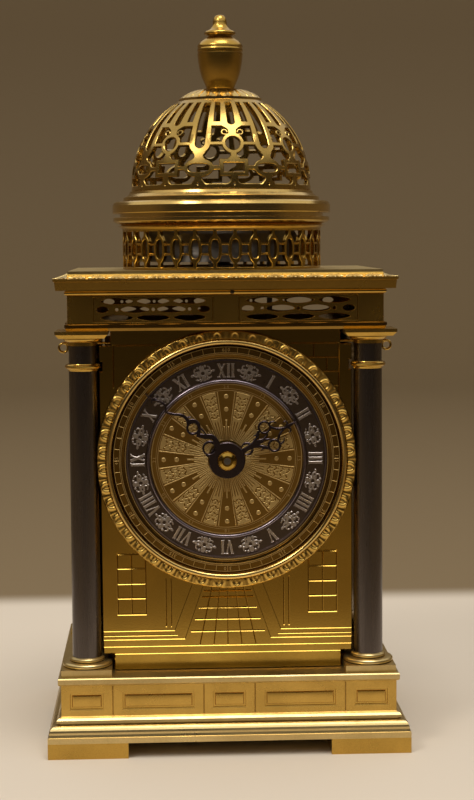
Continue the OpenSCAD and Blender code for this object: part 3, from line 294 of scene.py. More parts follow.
# The chased band of the bezel is satin, with little painted shade and dirt in its hollows.
CHASED = Metal(
    "Chased gilding", "#D4AE5A", "#B08C44", "#6A4A1E", smooth=0.2, dull=0.32, corner=0.35
)
# The dome's gilding has gone greenish and matt.
DOME_GILT = Metal(
    "Toned gilt brass", "#C4A45C", "#937538", "#2A1E0E", smooth=0.2, dull=0.32, corner=0.8
)
# The engraved plate is flat and polished, and its gilding is worn to brass.
PLATE_GILT = Metal(
    "Engraved gilt plate", "#BE9A46", "#8C7030", "#4A3212",
    smooth=0.1, dull=0.2, patch=36.0, corner=0.4,
)
# The ground behind the dial's ornament is polished, and browned by old lacquer. On the architrave
# the same darker colour is painted shade under the cornice.
LACQUERED = Metal(
    "Lacquered gilt ground", "#967436", "#705424", "#241808", smooth=0.15, dull=0.27, corner=0.5
)
# The sun's ground is matted with a punch, so it is dull and a little darker than its rays.
MATTED = Metal(
    "Matted gilding", "#A07C3C", "#7C5E2C", "#30200C", smooth=0.3, dull=0.42, grain=0.4, corner=0.4
)
# The rays and leaves are frosted in acid, so they scatter light and stay pale.
FROSTED = Metal(
    "Frosted gilding", "#E2C484", "#BC9A58", "#5A4018",
    smooth=0.38, dull=0.48, grain=0.35, corner=0.2,
)
# Browned steel: near black, drawn along the shaft.
BROWNED = Metal(
    "Browned steel", "#6C6460", "#48403C", "#181412",
    smooth=0.2, dull=0.34, patch=4.0, grain=0.7, brush=14.0,
)
# Blackened steel of the hands, with worn bright edges.
HAND_STEEL = Metal(
    "Blackened steel", "#5C5256", "#3A3236", "#181214",
    smooth=0.16, dull=0.26, patch=3.0, corner=0.5,
)
# Old silvering has gone violet grey over the brass.
SILVERED = Metal(
    "Toned silvering", "#8A8088", "#625860", "#1E1A18",
    smooth=0.14, dull=0.26, patch=8.0, corner=0.7,
)
# The hours' ground was matted and has gone brown between the letters.
HOUR_GROUND = Metal(
    "Matted silvering", "#6A5C50", "#463A30", "#18120E", smooth=0.26, dull=0.4, patch=4.0, grain=0.4
)
# The raised hours are silver, frosted and a little worn.
HOUR_SILVER = Metal(
    "Frosted silver", "#D6CCC6", "#9C9088", "#3A302A", smooth=0.22, dull=0.36, patch=3.0, corner=0.3
)
# Filed steel of the movement.
FILED = Metal("Filed steel", "#8E8B86", "#6B6762", "#1E1A16", smooth=0.26, dull=0.38, patch=9.0)
# Bell metal is a dark tin bronze as it left the lathe.
BELL = Metal("Bell metal", "#5B5650", "#3D3935", "#14110D", smooth=0.3, dull=0.45, patch=10.0)
# Sheet brass of the movement, filed and left bare.
TRAIN = Metal(
    "Filed sheet brass", "#C09A50", "#9A7836", "#2E200E", smooth=0.3, dull=0.42, patch=12.0
)


class Finishes:
    """Builds each finish once and hands out its material."""

    def __init__(self) -> None:
        """Starts with nothing built."""
        self.built: dict[str, bpy.types.Material] = {}

    def of(self, metal: Metal) -> bpy.types.Material:
        """Returns the material of a finish, building it on first use."""
        if metal.name not in self.built:
            self.built[metal.name] = metal.build()
        return self.built[metal.name]


# Flat outlines


def circle(x: float, y: float, r: float, steps: int = 24, squash: float = 1.0) -> Ring:
    """Returns the points of a circle or, with squash, an ellipse."""
    turns = [2 * math.pi * k / steps for k in range(steps)]
    return [(x + r * math.cos(t), y + r * squash * math.sin(t)) for t in turns]


def rounded(
    x: float, y: float, half_w: float, half_h: float, power: float, steps: int = 24
) -> Ring:
    """Makes an oval.

    Args:
        x: place of its middle across.
        y: place of its middle upwards.
        half_w: half its width.
        half_h: half its height.
        power: 1 gives an ellipse, less a fuller oval, and more a pointed one.
        steps: how many points it has.

    Returns:
        The outline.
    """
    ring = []
    fullest = 0.8
    for k in range(steps):
        t = 2 * math.pi * k / steps
        c, s = math.cos(t), math.sin(t)
        across = math.copysign(abs(c) ** min(power, 1.0), c)
        along = math.copysign(abs(s) ** max(power, fullest), s)
        ring.append((x + half_w * across, y + half_h * along))
    return ring


def block(x: float, y: float, w: float, h: float) -> Ring:
    """Returns the corners of a rectangle round a centre."""
    left, right, low, high = x - w / 2, x + w / 2, y - h / 2, y + h / 2
    return [(left, low), (right, low), (right, high), (left, high)]


def mirrored(half: Sequence[Flat], axis: float = 0.0) -> Ring:
    """Closes an outline with its own mirror image across a vertical line."""
    return [*half, *[(2 * axis - x, y) for x, y in half[::-1]]]


def turned_by(ring: Sequence[Flat], degrees: float) -> Ring:
    """Returns an outline turned round the origin."""
    c, s = math.cos(math.radians(degrees)), math.sin(math.radians(degrees))
    return [(c * x - s * y, s * x + c * y) for x, y in ring]


def moved(ring: Sequence[Flat], dx: float, dy: float) -> Ring:
    """Returns an outline moved by an offset."""
    return [(x + dx, y + dy) for x, y in ring]


def signed_area(ring: Sequence[Flat]) -> float:
    """Returns a ring's area, negative where it runs clockwise."""
    return sum(a[0] * b[1] - b[0] * a[1] for a, b in zip(ring, [*ring[1:], ring[0]])) / 2


def spaced(ring: Ring, step: float) -> Ring:
    """Splits a ring's long edges.

    Args:
        ring: the outline.
        step: the longest that an edge may be, or 0 for no limit.

    Returns:
        The outline with more points.
    """
    made = []
    for a, b in zip(ring, [*ring[1:], ring[0]]):
        parts = max(1, math.ceil(math.dist(a, b) / step)) if step else 1
        wide, tall = b[0] - a[0], b[1] - a[1]
        made += [(a[0] + wide * k / parts, a[1] + tall * k / parts) for k in range(parts)]
    return made


def stroke(points: Sequence[Flat], width: float | Sequence[float]) -> Ring:
    """Returns the outline of a band along a path, with one or many widths.

    Args:
        points: the path.
        width: the band's width, or one width for each point.

    Returns:
        The band's outline.
    """
    widths = [width] * len(points) if isinstance(width, (int, float)) else list(width)
    left, right = [], []
    for i, p in enumerate(points):
        a = points[max(i - 1, 0)]
        b = points[min(i + 1, len(points) - 1)]
        d = Vector((b[0] - a[0], b[1] - a[1])).normalized()
        half = widths[i] / 2
        left.append((p[0] - d.y * half, p[1] + d.x * half))
        right.append((p[0] + d.y * half, p[1] - d.x * half))
    return right + left[::-1]


def ribbon(stops: Sequence[tuple[float, float, float]], steps: int = 5) -> Ring:
    """Returns the outline of a smooth band through some stops.

    Args:
        stops: the path's points, each with the band's width there.
        steps: how many pieces lie between two stops.

    Returns:
        The band's outline.
    """
    path, widths = [], []
    for i in range(len(stops) - 1):
        a, b = Vector(stops[max(i - 1, 0)]), Vector(stops[i])
        c, d = Vector(stops[i + 1]), Vector(stops[min(i + 2, len(stops) - 1)])
        bend, twist = 2 * a - 5 * b + 4 * c - d, 3 * b - a - 3 * c + d
        for k in range(steps + (i == len(stops) - 2)):
            t = k / steps
            p = (2 * b + (c - a) * t + bend * t**2 + twist * t**3) / 2
            path.append((p.x, p.y))
            widths.append(p.z)
    return stroke(path, widths)


def arc(x: float, y: float, r: float, start: float, end: float, steps: int = 10) -> list[Flat]:
    """Returns points of an arc between two angles in degrees."""
    turns = [math.radians(start + (end - start) * k / steps) for k in range(steps + 1)]
    return [(x + r * math.cos(t), y + r * math.sin(t)) for t in turns]


# Pierced and raised sheet


def plane_cut(
    solids: Sequence[Ring],
    holes: Sequence[Ring] = (),
    lines: Sequence[Sequence[Flat]] = (),
    dots: Sequence[Flat] = (),
    nested: bool = False,
) -> tuple[list[Flat], Faces]:
    """Triangulates the union of some outlines, less some holes.

    Args:
        solids: outlines that are kept.
        holes: outlines that are cut away.
        lines: open paths that edges must follow.
        dots: more points for the triangles to use.
        nested: whether an outline inside a hole is metal again.

    Returns:
        The points and the triangles, all counter-clockwise.
    """
    points: list[Vector] = []
    rings: list[list[int]] = []
    for ring in [*solids, *holes]:
        run = [p for k, p in enumerate(ring) if math.dist(p, ring[k - 1]) > CLOSE]
        run = run if signed_area(run) > 0 else run[::-1]
        rings.append(list(range(len(points), len(points) + len(run))))
        points += [Vector(p) for p in run]
    edges = []
    for line in lines:
        first = len(points)
        points += [Vector(p) for p in line]
        edges += [(k, k + 1) for k in range(first, first + len(line) - 1)]
    points += [Vector(p) for p in dots]
    whole_hull = 0
    cut = delaunay_2d_cdt(points, edges, rings, whole_hull, JOINED, True)
    spots, _, triangles, _, _, sources = cut
    kept = []
    for f, source in zip(triangles, sources):
        cover = sum(1 if k < len(solids) else -1 for k in source)
        if cover > 0 and (nested or max(source) < len(solids)):
            kept.append(tuple(f))
    flat = [(v.x, v.y) for v in spots]
    turned = []
    for f in kept:
        area = signed_area([flat[i] for i in f])
        if abs(area) > SLIVER:
            turned.append(f if area > 0 else f[::-1])
    used = sorted({i for f in turned for i in f})
    place = {old: new for new, old in enumerate(used)}
    return [flat[i] for i in used], [tuple(place[i] for i in f) for f in turned]


def rims(faces: Faces) -> list[tuple[int, int]]:
    """Returns the edges that only one face uses, in the face's direction."""
    seen = {(f[k], f[(k + 1) % len(f)]) for f in faces for k in range(len(f))}
    return sorted(e for e in seen if (e[1], e[0]) not in seen)


def rim_loops(faces: Faces) -> list[list[int]]:
    """Chains the rim edges of some faces into loops.

    Args:
        faces: the faces of a flat sheet.

    Returns:
        The loops, each with the sheet on its left.
    """
    onward: dict[int, list[int]] = {}
    for a, b in rims(faces):
        onward.setdefault(a, []).append(b)
    loops = []
    while onward:
        start = min(onward)
        loop = [start]
        while True:
            outs = onward.get(loop[-1])
            if not outs:
                break
            step = outs.pop()
            if not outs:
                del onward[loop[-1]]
            if step == start:
                break
            loop.append(step)
        loops.append(loop)
    return loops


def thicken(
    points: Sequence[Flat],
    faces: Faces,
    front: Place,
    thick: float,
    edge: set[int] | frozenset[int] = frozenset(),
    drop: float = 0.0,
    joins: Callable[[Flat, Flat], bool] = lambda a, b: False,
) -> Solid:
    """Gives a flat cut sheet its thickness and bends it into place.

    Args:
        points: the sheet's points.
        faces: its triangles.
        front: place of a sheet point, given its depth below the face.
        thick: thickness of the sheet.
        edge: points that lie on a bevelled edge.
        drop: how far those lie below the face.
        joins: tells whether an edge lies where the sheet joins the next one.

    Returns:
        The solid's points and faces.
    """
    n = len(points)
    verts = [front(p[0], p[1], drop if i in edge else 0.0) for i, p in enumerate(points)]
    verts += [front(p[0], p[1], thick) for p in points]
    made: Faces = [*faces, *[tuple(i + n for i in f[::-1]) for f in faces]]
    made += [(b, a, a + n, b + n) for a, b in rims(faces) if not joins(points[a], points[b])]
    return verts, made


@dataclass
class Fret:
    """A flat pierced sheet with bevelled edges, ready to be bent.

    Attributes:
        solids: outlines that are metal.
        holes: outlines that are open.
        bevel: width of the bevel along each edge.
        seam: half width of a repeat whose sides join the next one.
        spacing: spacing of the points inside, for bending.
    """

    solids: list[Ring]
    holes: list[Ring] = field(default_factory=list)
    bevel: float = 0.3
    seam: float | None = None
    spacing: float = 0.0

    def on_seam(self, p: Flat) -> bool:
        """Tells whether a point lies where two repeats join."""
        return self.seam is not None and abs(abs(p[0]) - self.seam) < ON_SEAM

    def along_seam(self, a: Flat, b: Flat) -> bool:
        """Tells whether an edge lies where two repeats join."""
        return self.on_seam(a) and self.on_seam(b) and abs(a[0] - b[0]) < CLOSE

    def cut(self) -> tuple[list[Flat], Faces, set[int]]:
        """Cuts the sheet.

        Returns:
            The points, the triangles and the points that lie on an edge.
        """
        holes = list(self.holes)
        if self.seam is not None:
            # A block on each side cuts away what lies past the seams.
            wide, tall, middle = 100, 400, 50
            holes += [block(s * (self.seam + wide / 2), middle, wide, tall) for s in (-1, 1)]
        flat, faces = plane_cut(self.solids, holes)
        inner, outer_rings, hole_rings = [], [], []
        for loop in rim_loops(faces):
            ring = spaced([flat[i] for i in loop], self.spacing)
            (outer_rings if signed_area(ring) > 0 else hole_rings).append(ring)
            inner.append(self.inset(ring))
        dots = self.grid(flat, [*outer_rings, *hole_rings]) if self.spacing else []
        lines = [[*ring, ring[0]] for ring in inner]
        points, made = plane_cut(outer_rings, hole_rings, lines, dots, True)
        if self.seam is not None:
            digits = 5
            heights = sorted({round(p[1], digits) for p in points if self.on_seam(p)})
            dots += [(side * self.seam, y) for y in heights for side in (-1, 1)]
            points, made = plane_cut(outer_rings, hole_rings, lines, dots, True)
        edge = set()
        for a, b in rims(made):
            if not self.along_seam(points[a], points[b]):
                edge |= {a, b}
        return points, made, edge

    def grid(self, flat: Sequence[Flat], loops: list[Ring]) -> list[Flat]:
        """Spreads points over the sheet, away from its edges.

        Args:
            flat: the sheet's points.
            loops: its edges.

        Returns:
            The new points.
        """
        xs = [p[0] for p in flat]
        ys = [p[1] for p in flat]
        nx = max(2, round((max(xs) - min(xs)) / self.spacing))
        ny = max(2, round((max(ys) - min(ys)) / self.spacing))
        reach = (self.bevel * CLEARANCE) ** 2
        dots = []
        for i in range(1, nx):
            for j in range(1, ny):
                x = min(xs) + (max(xs) - min(xs)) * i / nx
                y = min(ys) + (max(ys) - min(ys)) * j / ny
                if all((q[0] - x) ** 2 + (q[1] - y) ** 2 >= reach for ring in loops for q in ring):
                    dots.append((x, y))
        return dots

    def inset(self, ring: Ring) -> Ring:
        """Moves an edge into the metal by the bevel's width.

        Args:
            ring: the edge, with the metal on its left.

        Returns:
            The moved edge, whose ends stay on a seam.
        """
        out = []
        for i, p in enumerate(ring):
            before, here, after = ring[i - 1], Vector(p), ring[(i + 1) % len(ring)]
            come = (here - Vector(before)).normalized()
            leave = (Vector(after) - here).normalized()
            first = Vector((-come.y, come.x))
            second = Vector((-leave.y, leave.x))
            if self.on_seam(p):
                if self.on_seam(before):
                    first = Vector((0, 0)) if self.on_seam(after) else second
                if self.on_seam(after):
                    second = first
            inward = first + second
            if inward.length < NOTHING:
                out.append(p)
                continue
            inward.normalize()
            share = max(LEAST_MITRE, inward.dot(second) if second.length else 1.0)
            q = here + inward * (self.bevel / share)
            out.append((p[0] if self.on_seam(p) else q.x, q.y))
        return out

    def solid(self, front: Place, thick: float, drop: float | None = None) -> Solid:
        """Bends the cut sheet into a closed or joinable solid.

        Args:
            front: place of a sheet point, given its depth below the face.
            thick: thickness of the sheet.
            drop: how far the bevel drops the edge; the bevel's width if None.

        Returns:
            The solid's points and faces.
        """
        points, faces, edge = self.cut()
        low = self.bevel if drop is None else drop
        return thicken(points, faces, front, thick, edge, low, self.along_seam)


class Maker:
    """Collects points and faces, and finishes them as one piece."""

    def __init__(self) -> None:
        """Starts empty."""
        self.verts: list[Vector] = []
        self.faces: Faces = []

    def add(self, verts: Iterable[Vector], faces: Faces, move: Matrix | None = None) -> "Maker":
        """Adds points and faces.

        Args:
            verts: the points.
            faces: the faces, by the points' places in that list.
            move: where they go, if not where they are.

        Returns:
            This maker.
        """
        first = len(self.verts)
        self.verts += [move @ Vector(v) if move else Vector(v) for v in verts]
        self.faces += [tuple(i + first for i in f) for f in faces]
        return self

    def join(self, other: "Maker", move: Matrix | None = None) -> "Maker":
        """Adds all that another maker holds."""
        return self.add(other.verts, other.faces, move)

    def turned(
        self, profile: Sequence[Flat], steps: int = ROUND, move: Matrix | None = None
    ) -> "Maker":
        """Turns a profile of radius and height round Z.

        Args:
            profile: points from the lower middle, outwards and up.
            steps: number of faces round the axis.
            move: where the turned shape goes.

        Returns:
            This maker.
        """
        verts, faces, rows = [], [], []
        turns = [2 * math.pi * k / steps for k in range(steps)]
        poles = [r < NOTHING for r, _ in profile]
        for (r, z), pole in zip(profile, poles):
            rows.append(len(verts))
            if pole:
                verts.append(Vector((0, 0, z)))
            else:
                verts += [Vector((r * math.cos(t), r * math.sin(t), z)) for t in turns]
        pairs = [(i, i + 1) for i in range(len(profile) - 1)]
        if not poles[0] and not poles[-1]:
            pairs.append((len(profile) - 1, 0))
        for i, j in pairs:
            if poles[i] and poles[j]:
                continue
            a, b = rows[i], rows[j]
            for k in range(steps):
                m = (k + 1) % steps
                if poles[i]:
                    faces.append((a, b + m, b + k))
                elif poles[j]:
                    faces.append((a + k, a + m, b))
                else:
                    faces.append((a + k, a + m, b + m, b + k))
        return self.add(verts, faces, move)

    def wedge(self, count: int, columns: int, section: Callable[[float], Ring]) -> "Maker":
        """Adds one of several equal wedges of a ring with a carved face.

        Args:
            count: how many wedges make the ring.
            columns: number of faces across the wedge.
            section: radius and height of the section's points, anticlockwise,
                at a place across the wedge from -1 to 1.

        Returns:
            This maker.
        """
        verts, faces = [], []
        m = len(section(0))
        for j in range(columns + 1):
            u = 2 * j / columns - 1
            t = math.pi / count * u
            verts += [Vector((r * math.cos(t), r * math.sin(t), z)) for r, z in section(u)]
        for j in range(columns):
            for i in range(m):
                a, b = j * m + i, j * m + (i + 1) % m
                faces.append((a, a + m, b + m, b))
        return self.add(verts, faces)

    def welded(self) -> "Maker":
        """Returns a copy whose coincident points are one."""
        spots: dict[tuple[int, ...], int] = {}
        keys = [tuple(round(c / CLOSE) for c in v) for v in self.verts]
        index = [spots.setdefault(key, len(spots)) for key in keys]
        made = Maker()
        first = {new: old for old, new in reversed(list(enumerate(index)))}
        made.verts = [self.verts[first[k]] for k in range(len(spots))]
        made.faces = [tuple(index[i] for i in f) for f in self.faces]
        return made

    def piece(
        self, name: str, material: bpy.types.Material, sharp: float = 32.0
    ) -> bpy.types.Object:
        """Makes the object, with its size in metres.

        Args:
            name: the piece's name.
            material: its finish.
            sharp: angle in degrees past which an edge stays sharp.

        Returns:
            The new object, linked to the scene.
        """
        mesh = bpy.data.meshes.new(name)
        mesh.from_pydata([v * MM for v in self.verts], [], self.faces)
        mesh.materials.append(material)
        mesh.validate()
        smooth(mesh, sharp)
        thing = bpy.data.objects.new(name, mesh)
        bpy.context.scene.collection.objects.link(thing)
        return thing


def smooth(mesh: bpy.types.Mesh, sharp: float) -> None:
    """Shades a mesh smoothly, apart from its edges sharper than an angle."""
    mesh.polygons.foreach_set("use_smooth", [True] * len(mesh.polygons))
    mesh.set_sharp_from_angle(angle=math.radians(sharp))
    mesh.update()


def level(height: float) -> Place:
    """Returns the place of a sheet that lies flat at a height along Z."""
    return lambda x, y, depth: Vector((x, y, height - depth))


# Geometry Nodes


class Repeater:
    """Geometry Nodes trees that repeat a unit round an axis or in a row."""

    def __init__(self) -> None:
        """Builds both trees."""
        self.round = self.tree("Repeat round", "Start")
        self.row = self.tree("Repeat in a row", "Step")

    @staticmethod
    def tree(name: str, measure: str) -> bpy.types.NodeTree:
        """Builds a tree that repeats its input round Z or along X.

        Args:
            name: the tree's name.
            measure: "Start", the first copy's angle, in a tree that goes round
                Z, or "Step", the spacing, in one that goes along X.

        Returns:
            The node tree.
        """
        tree = bpy.data.node_groups.new(name, "GeometryNodeTree")
        for socket, kind, side in (
            ("Unit", "Geometry", "INPUT"),
            ("Count", "Int", "INPUT"),
            (measure, "Float", "INPUT"),
            ("Finish", "Material", "INPUT"),
            ("Geometry", "Geometry", "OUTPUT"),
        ):
            tree.interface.new_socket(socket, in_out=side, socket_type=f"NodeSocket{kind}")
        s = Nodes(tree)
        given = s.add("NodeGroupInput").outputs
        points = s.add("GeometryNodePoints", {"Count": given["Count"]})
        index = s.add("GeometryNodeInputIndex").outputs["Index"]
        if measure == "Start":
            share = s.add("ShaderNodeMath", {0: index, 1: given["Count"]}, operation="DIVIDE")
            turn = s.add(
                "ShaderNodeMath",
                {0: share.outputs[0], 1: 2 * math.pi, 2: given["Start"]},
                operation="MULTIPLY_ADD",
            )
            spin = s.add("ShaderNodeCombineXYZ", {"Z": turn.outputs[0]})
            placed = {"Points": points.outputs[0], "Rotation": spin.outputs[0]}
        else:
            along = s.add("ShaderNodeMath", {0: index, 1: given["Step"]}, operation="MULTIPLY")
            shift = s.add("ShaderNodeCombineXYZ", {"X": along.outputs[0]})
            spread = s.add(
                "GeometryNodeSetPosition",
                {"Geometry": points.outputs[0], "Offset": shift.outputs[0]},
            )
            placed = {"Points": spread.outputs[0]}
        copies = s.add("GeometryNodeInstanceOnPoints", {**placed, "Instance": given["Unit"]})
        real = s.add("GeometryNodeRealizeInstances", {"Geometry": copies.outputs[0]})
        merged = s.add(
            "GeometryNodeMergeByDistance", {"Geometry": real.outputs[0], "Distance": WELD}
        )
        dressed = s.add(
            "GeometryNodeSetMaterial", {"Geometry": merged.outputs[0], "Material": given["Finish"]}
        )
        s.add("NodeGroupOutput", {"Geometry": dressed.outputs[0]})
        return tree

    def run(
        self,
        unit: Maker,
        tree: bpy.types.NodeTree,
        count: int,
        value: float,
        material: bpy.types.Material,
    ) -> Maker:
        """Repeats a unit and returns the result as plain points and faces.

        Args:
            unit: the unit's mesh, in millimetres.
            tree: which of the two trees to use.
            count: how many copies there are.
            value: the first copy's angle in degrees, or the step in mm.
            material: the finish that the tree sets.

        Returns:
            A maker that holds all the copies.
        """
        thing = unit.piece("unit", material)
        modifier = thing.modifiers.new("Repeat", "NODES")
        modifier.node_group = tree
        given = [item for item in tree.interface.items_tree if item.in_out == "INPUT"]
        sockets = {item.name: item.identifier for item in given}
        modifier[sockets["Count"]] = count
        if tree is self.round:
            modifier[sockets["Start"]] = math.radians(value)
        else:
            modifier[sockets["Step"]] = value * MM
        modifier[sockets["Finish"]] = material
        graph = bpy.context.evaluated_depsgraph_get()
        mesh = bpy.data.meshes.new_from_object(thing.evaluated_get(graph))
        made = Maker()
        made.verts = [v.co / MM for v in mesh.vertices]
        made.faces = [tuple(p.vertices) for p in mesh.polygons]
        thing.modifiers.remove(modifier)
        bpy.data.objects.remove(thing)
        bpy.data.meshes.remove(mesh)
        return made


# Assembly


@dataclass
class Workshop:
    """What every sub-assembly needs to make and register its pieces."""

    finishes: Finishes
    repeater: Repeater
    made: list[bpy.types.Object] = field(default_factory=list)

    def ring(self, unit: Maker, count: int, start: float, metal: Metal) -> Maker:
        """Repeats a unit round Z, the first copy at an angle in degrees."""
        return self.repeater.run(unit, self.repeater.round, count, start, self.finishes.of(metal))

    def row(self, unit: Maker, count: int, step: float, metal: Metal) -> Maker:
        """Repeats a unit along X."""
        return self.repeater.run(unit, self.repeater.row, count, step, self.finishes.of(metal))

    def deliver(
        self,
        maker: Maker,
        name: str,
        metal: Metal,
        slot: Slot,
        body: Body = Body.CASE,
        replaced: Sequence[str] = (),
        sharp: float = 32.0,
    ) -> None:
        """Finishes a piece and registers it with the frame.

        Args:
            maker: the piece's mesh.
            name: the piece's name.
            metal: its finish.
            slot: the record's slot that the finish belongs to; not used.
            body: the body that it rides on.
            replaced: the frame nodes that it stands for.
            sharp: angle past which an edge stays sharp.
        """
        thing = maker.piece(name, self.finishes.of(metal), sharp)
        if replaced:
            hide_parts(*replaced)
        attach(thing, body.value)
        self.made.append(thing)
        log.info("%s: %d faces on %s", name, len(thing.data.polygons), body.value)


@dataclass(frozen=True)
class Eye:
    """The camera, where the photograph was taken from.

    Attributes:
        place: where it stands, in millimetres.
        yaw: how far it looks to the right, in radians.
        pitch: how far it looks down, in radians.
        roll: how far it leans, in radians.
        lens: its focal length in millimetres.
        sensor: long side of its sensor in millimetres.
        reach: the nearest and the farthest that it sees, in metres.
    """

    place: tuple[float, float, float] = (-27.63, -797.2, 227.1)
    yaw: float = 0.0429
    pitch: float = 0.0942
    roll: float = -0.0075
    lens: float = 77.36
    sensor: float = 36.0
    reach: tuple[float, float] = (0.05, 50.0)

    def build(self) -> None:
        """Makes the camera and gives it to the scene."""
        ahead = Vector(
            (
                math.sin(self.yaw) * math.cos(self.pitch),
                math.cos(self.yaw) * math.cos(self.pitch),
                -math.sin(self.pitch),
            )
        )
        right = Vector((math.cos(self.yaw), -math.sin(self.yaw), 0))
        up = right.cross(ahead)
        leaning_right = right * math.cos(self.roll) + up * math.sin(self.roll)
        leaning_up = up * math.cos(self.roll) - right * math.sin(self.roll)
        data = bpy.data.cameras.new("camera")
        data.lens = self.lens
        data.sensor_width = self.sensor
        data.clip_start, data.clip_end = self.reach
        camera = bpy.data.objects.new("camera", data)
        bpy.context.scene.collection.objects.link(camera)
        turn = Matrix((leaning_right, leaning_up, -ahead)).transposed().to_4x4()
        camera.matrix_world = Matrix.Translation(Vector(self.place) * MM) @ turn
        bpy.context.scene.camera = camera


@dataclass(frozen=True)
class Lamp:
    """A soft lamp that faces the clock.

    Attributes:
        name: what it is called.
        place: where it hangs, in metres.
        size: its width and height in metres.
        power: its power in watts.
        colour: its linear colour.
        aim: height of the point that it faces, in metres.
    """

    name: str
    place: tuple[float, float, float]
    size: tuple[float, float]
    power: float
    colour: tuple[float, float, float]
    aim: float = 0.16

    def build(self) -> None:
        """Hangs the lamp and turns it to the clock."""
        data = bpy.data.lights.new(self.name, "AREA")
        data.shape = "RECTANGLE"
        data.size, data.size_y = self.size
        data.energy = self.power
        data.color = self.colour
        thing = bpy.data.objects.new(self.name, data)
        thing.location = self.place
        aim = Vector((0, 0, self.aim)) - Vector(self.place)
        thing.rotation_euler = aim.to_track_quat("-Z", "Y").to_euler()
        bpy.context.scene.collection.objects.link(thing)


@dataclass(frozen=True)
class Studio:
    """A floor that turns up into a wall all round, open above.

    The floor is painted pale near the clock, a painted pool of light that its metal
    mirrors, and painted dark farther off, most of all in front, as painted shade.

    Attributes:
        floor: colour of the floor near the clock, painted as a pool of light.
        wall: colour of the wall, and of the floor farther off, where it stands as painted shade.
        front_shade: painted shade on both in front of the clock.
        air: colour of the sky's light.
        sky: strength of the sky's light.
        radius: radius of the wall.
        turn_up: radius of the curve between floor and wall.
        height: height of the wall.
        pale: radius of the floor's painted pool of light.
        dark: radius past which the floor is painted dark, as shade.
        middle: how far behind the clock's axis the pale part's middle lies.
        back: how far behind the axis the pale part ends.
        edge: half the width of that end's soft edge.
        front: where the painted shade in front starts, and where it is full, in metres.
        matt: roughness of the floor and the wall.
        lamps: the two lamps.
    """

    floor: str = "#D9CDBD"
    wall: str = "#7B684A"
    front_shade: str = "#33291F"
    air: str = "#F4EEE4"
    sky: float = 0.84
    radius: float = 2400.0
    turn_up: float = 600.0
    height: float = 1400.0
    pale: float = 350.0
    dark: float = 460.0
    middle: float = 140.0
    back: float = 277.0
    edge: float = 22.0
    front: tuple[float, float] = (-0.3, -1.5)
    matt: float = 0.75
    lamps: tuple[Lamp, ...] = (
        Lamp("key", (-0.9, -1.0, 1.5), (0.45, 0.45), 8.0, (1.0, 0.94, 0.85)),
        Lamp("top", (0.1, -0.4, 1.5), (0.7, 0.7), 10.0, (1.0, 0.96, 0.9)),
    )

    def build(self) -> None:
        """Makes the cove, the world and the lamps."""
        self.cove()
        world = bpy.data.worlds.new("studio air")
        bpy.context.scene.world = world
        world.use_nodes = True
        back = world.node_tree.nodes["Background"]
        back.inputs["Color"].default_value = linear(self.air)
        back.inputs["Strength"].default_value = self.sky
        for lamp in self.lamps:
            lamp.build()

    def cove(self) -> None:
        """Makes the floor, which curves up into a wall all round."""
        paper = new_material("Matt studio paper with painted light and shade")
        s = Nodes(paper.node_tree)
        place = s.add("ShaderNodeTexCoord").outputs["Object"]
        # The floor's colour paints light and shade: a pale pool of light round the clock, dark
        # beyond and behind it, darkest in front, for the metal to mirror.
        centre = (0.0, self.middle * MM, 0.0)
        away = s.add(
            "ShaderNodeVectorMath", {0: place, 1: centre}, operation="DISTANCE"
        ).outputs["Value"]
        depth = s.add("ShaderNodeSeparateXYZ", {"Vector": place}).outputs["Y"]
        first, last = (self.back - self.edge) * MM, (self.back + self.edge) * MM
        fade, front, behind = (
            s.add(
                "ShaderNodeMapRange",
                {"Value": value, "From Min": start, "From Max": end},
                interpolation_type="SMOOTHSTEP",
            ).outputs["Result"]
            for value, start, end in (
                (away, self.pale * MM, self.dark * MM),
                (depth, *self.front),
                (depth, first, last),
            )
        )
        off = s.add("ShaderNodeMath", {0: fade, 1: behind}, operation="MAXIMUM").outputs["Value"]
        wall = s.add(
            "ShaderNodeMix",
            {"Factor": front, MIX_A: linear(self.wall), MIX_B: linear(self.front_shade)},
            data_type="RGBA",
        ).outputs[MIX_OUT]
        painted_light_colour = s.add(
            "ShaderNodeMix",
            {"Factor": off, MIX_A: linear(self.floor), MIX_B: wall},
            data_type="RGBA",
        ).outputs[MIX_OUT]
        shader = s.add(
            "ShaderNodeBsdfPrincipled", {"Base Color": painted_light_colour, "Roughness": self.matt}
        ).outputs["BSDF"]
        s.add("ShaderNodeOutputMaterial", {"Surface": shader})
        r, t = self.radius, self.turn_up
        profile = [(r, self.height), *arc(r - t, t, t, 0, -90, 12), (1.0, 0.0), (0.0, 0.0)]
        Maker().turned(profile).piece("cove", paper, 60)


# Dome and drum


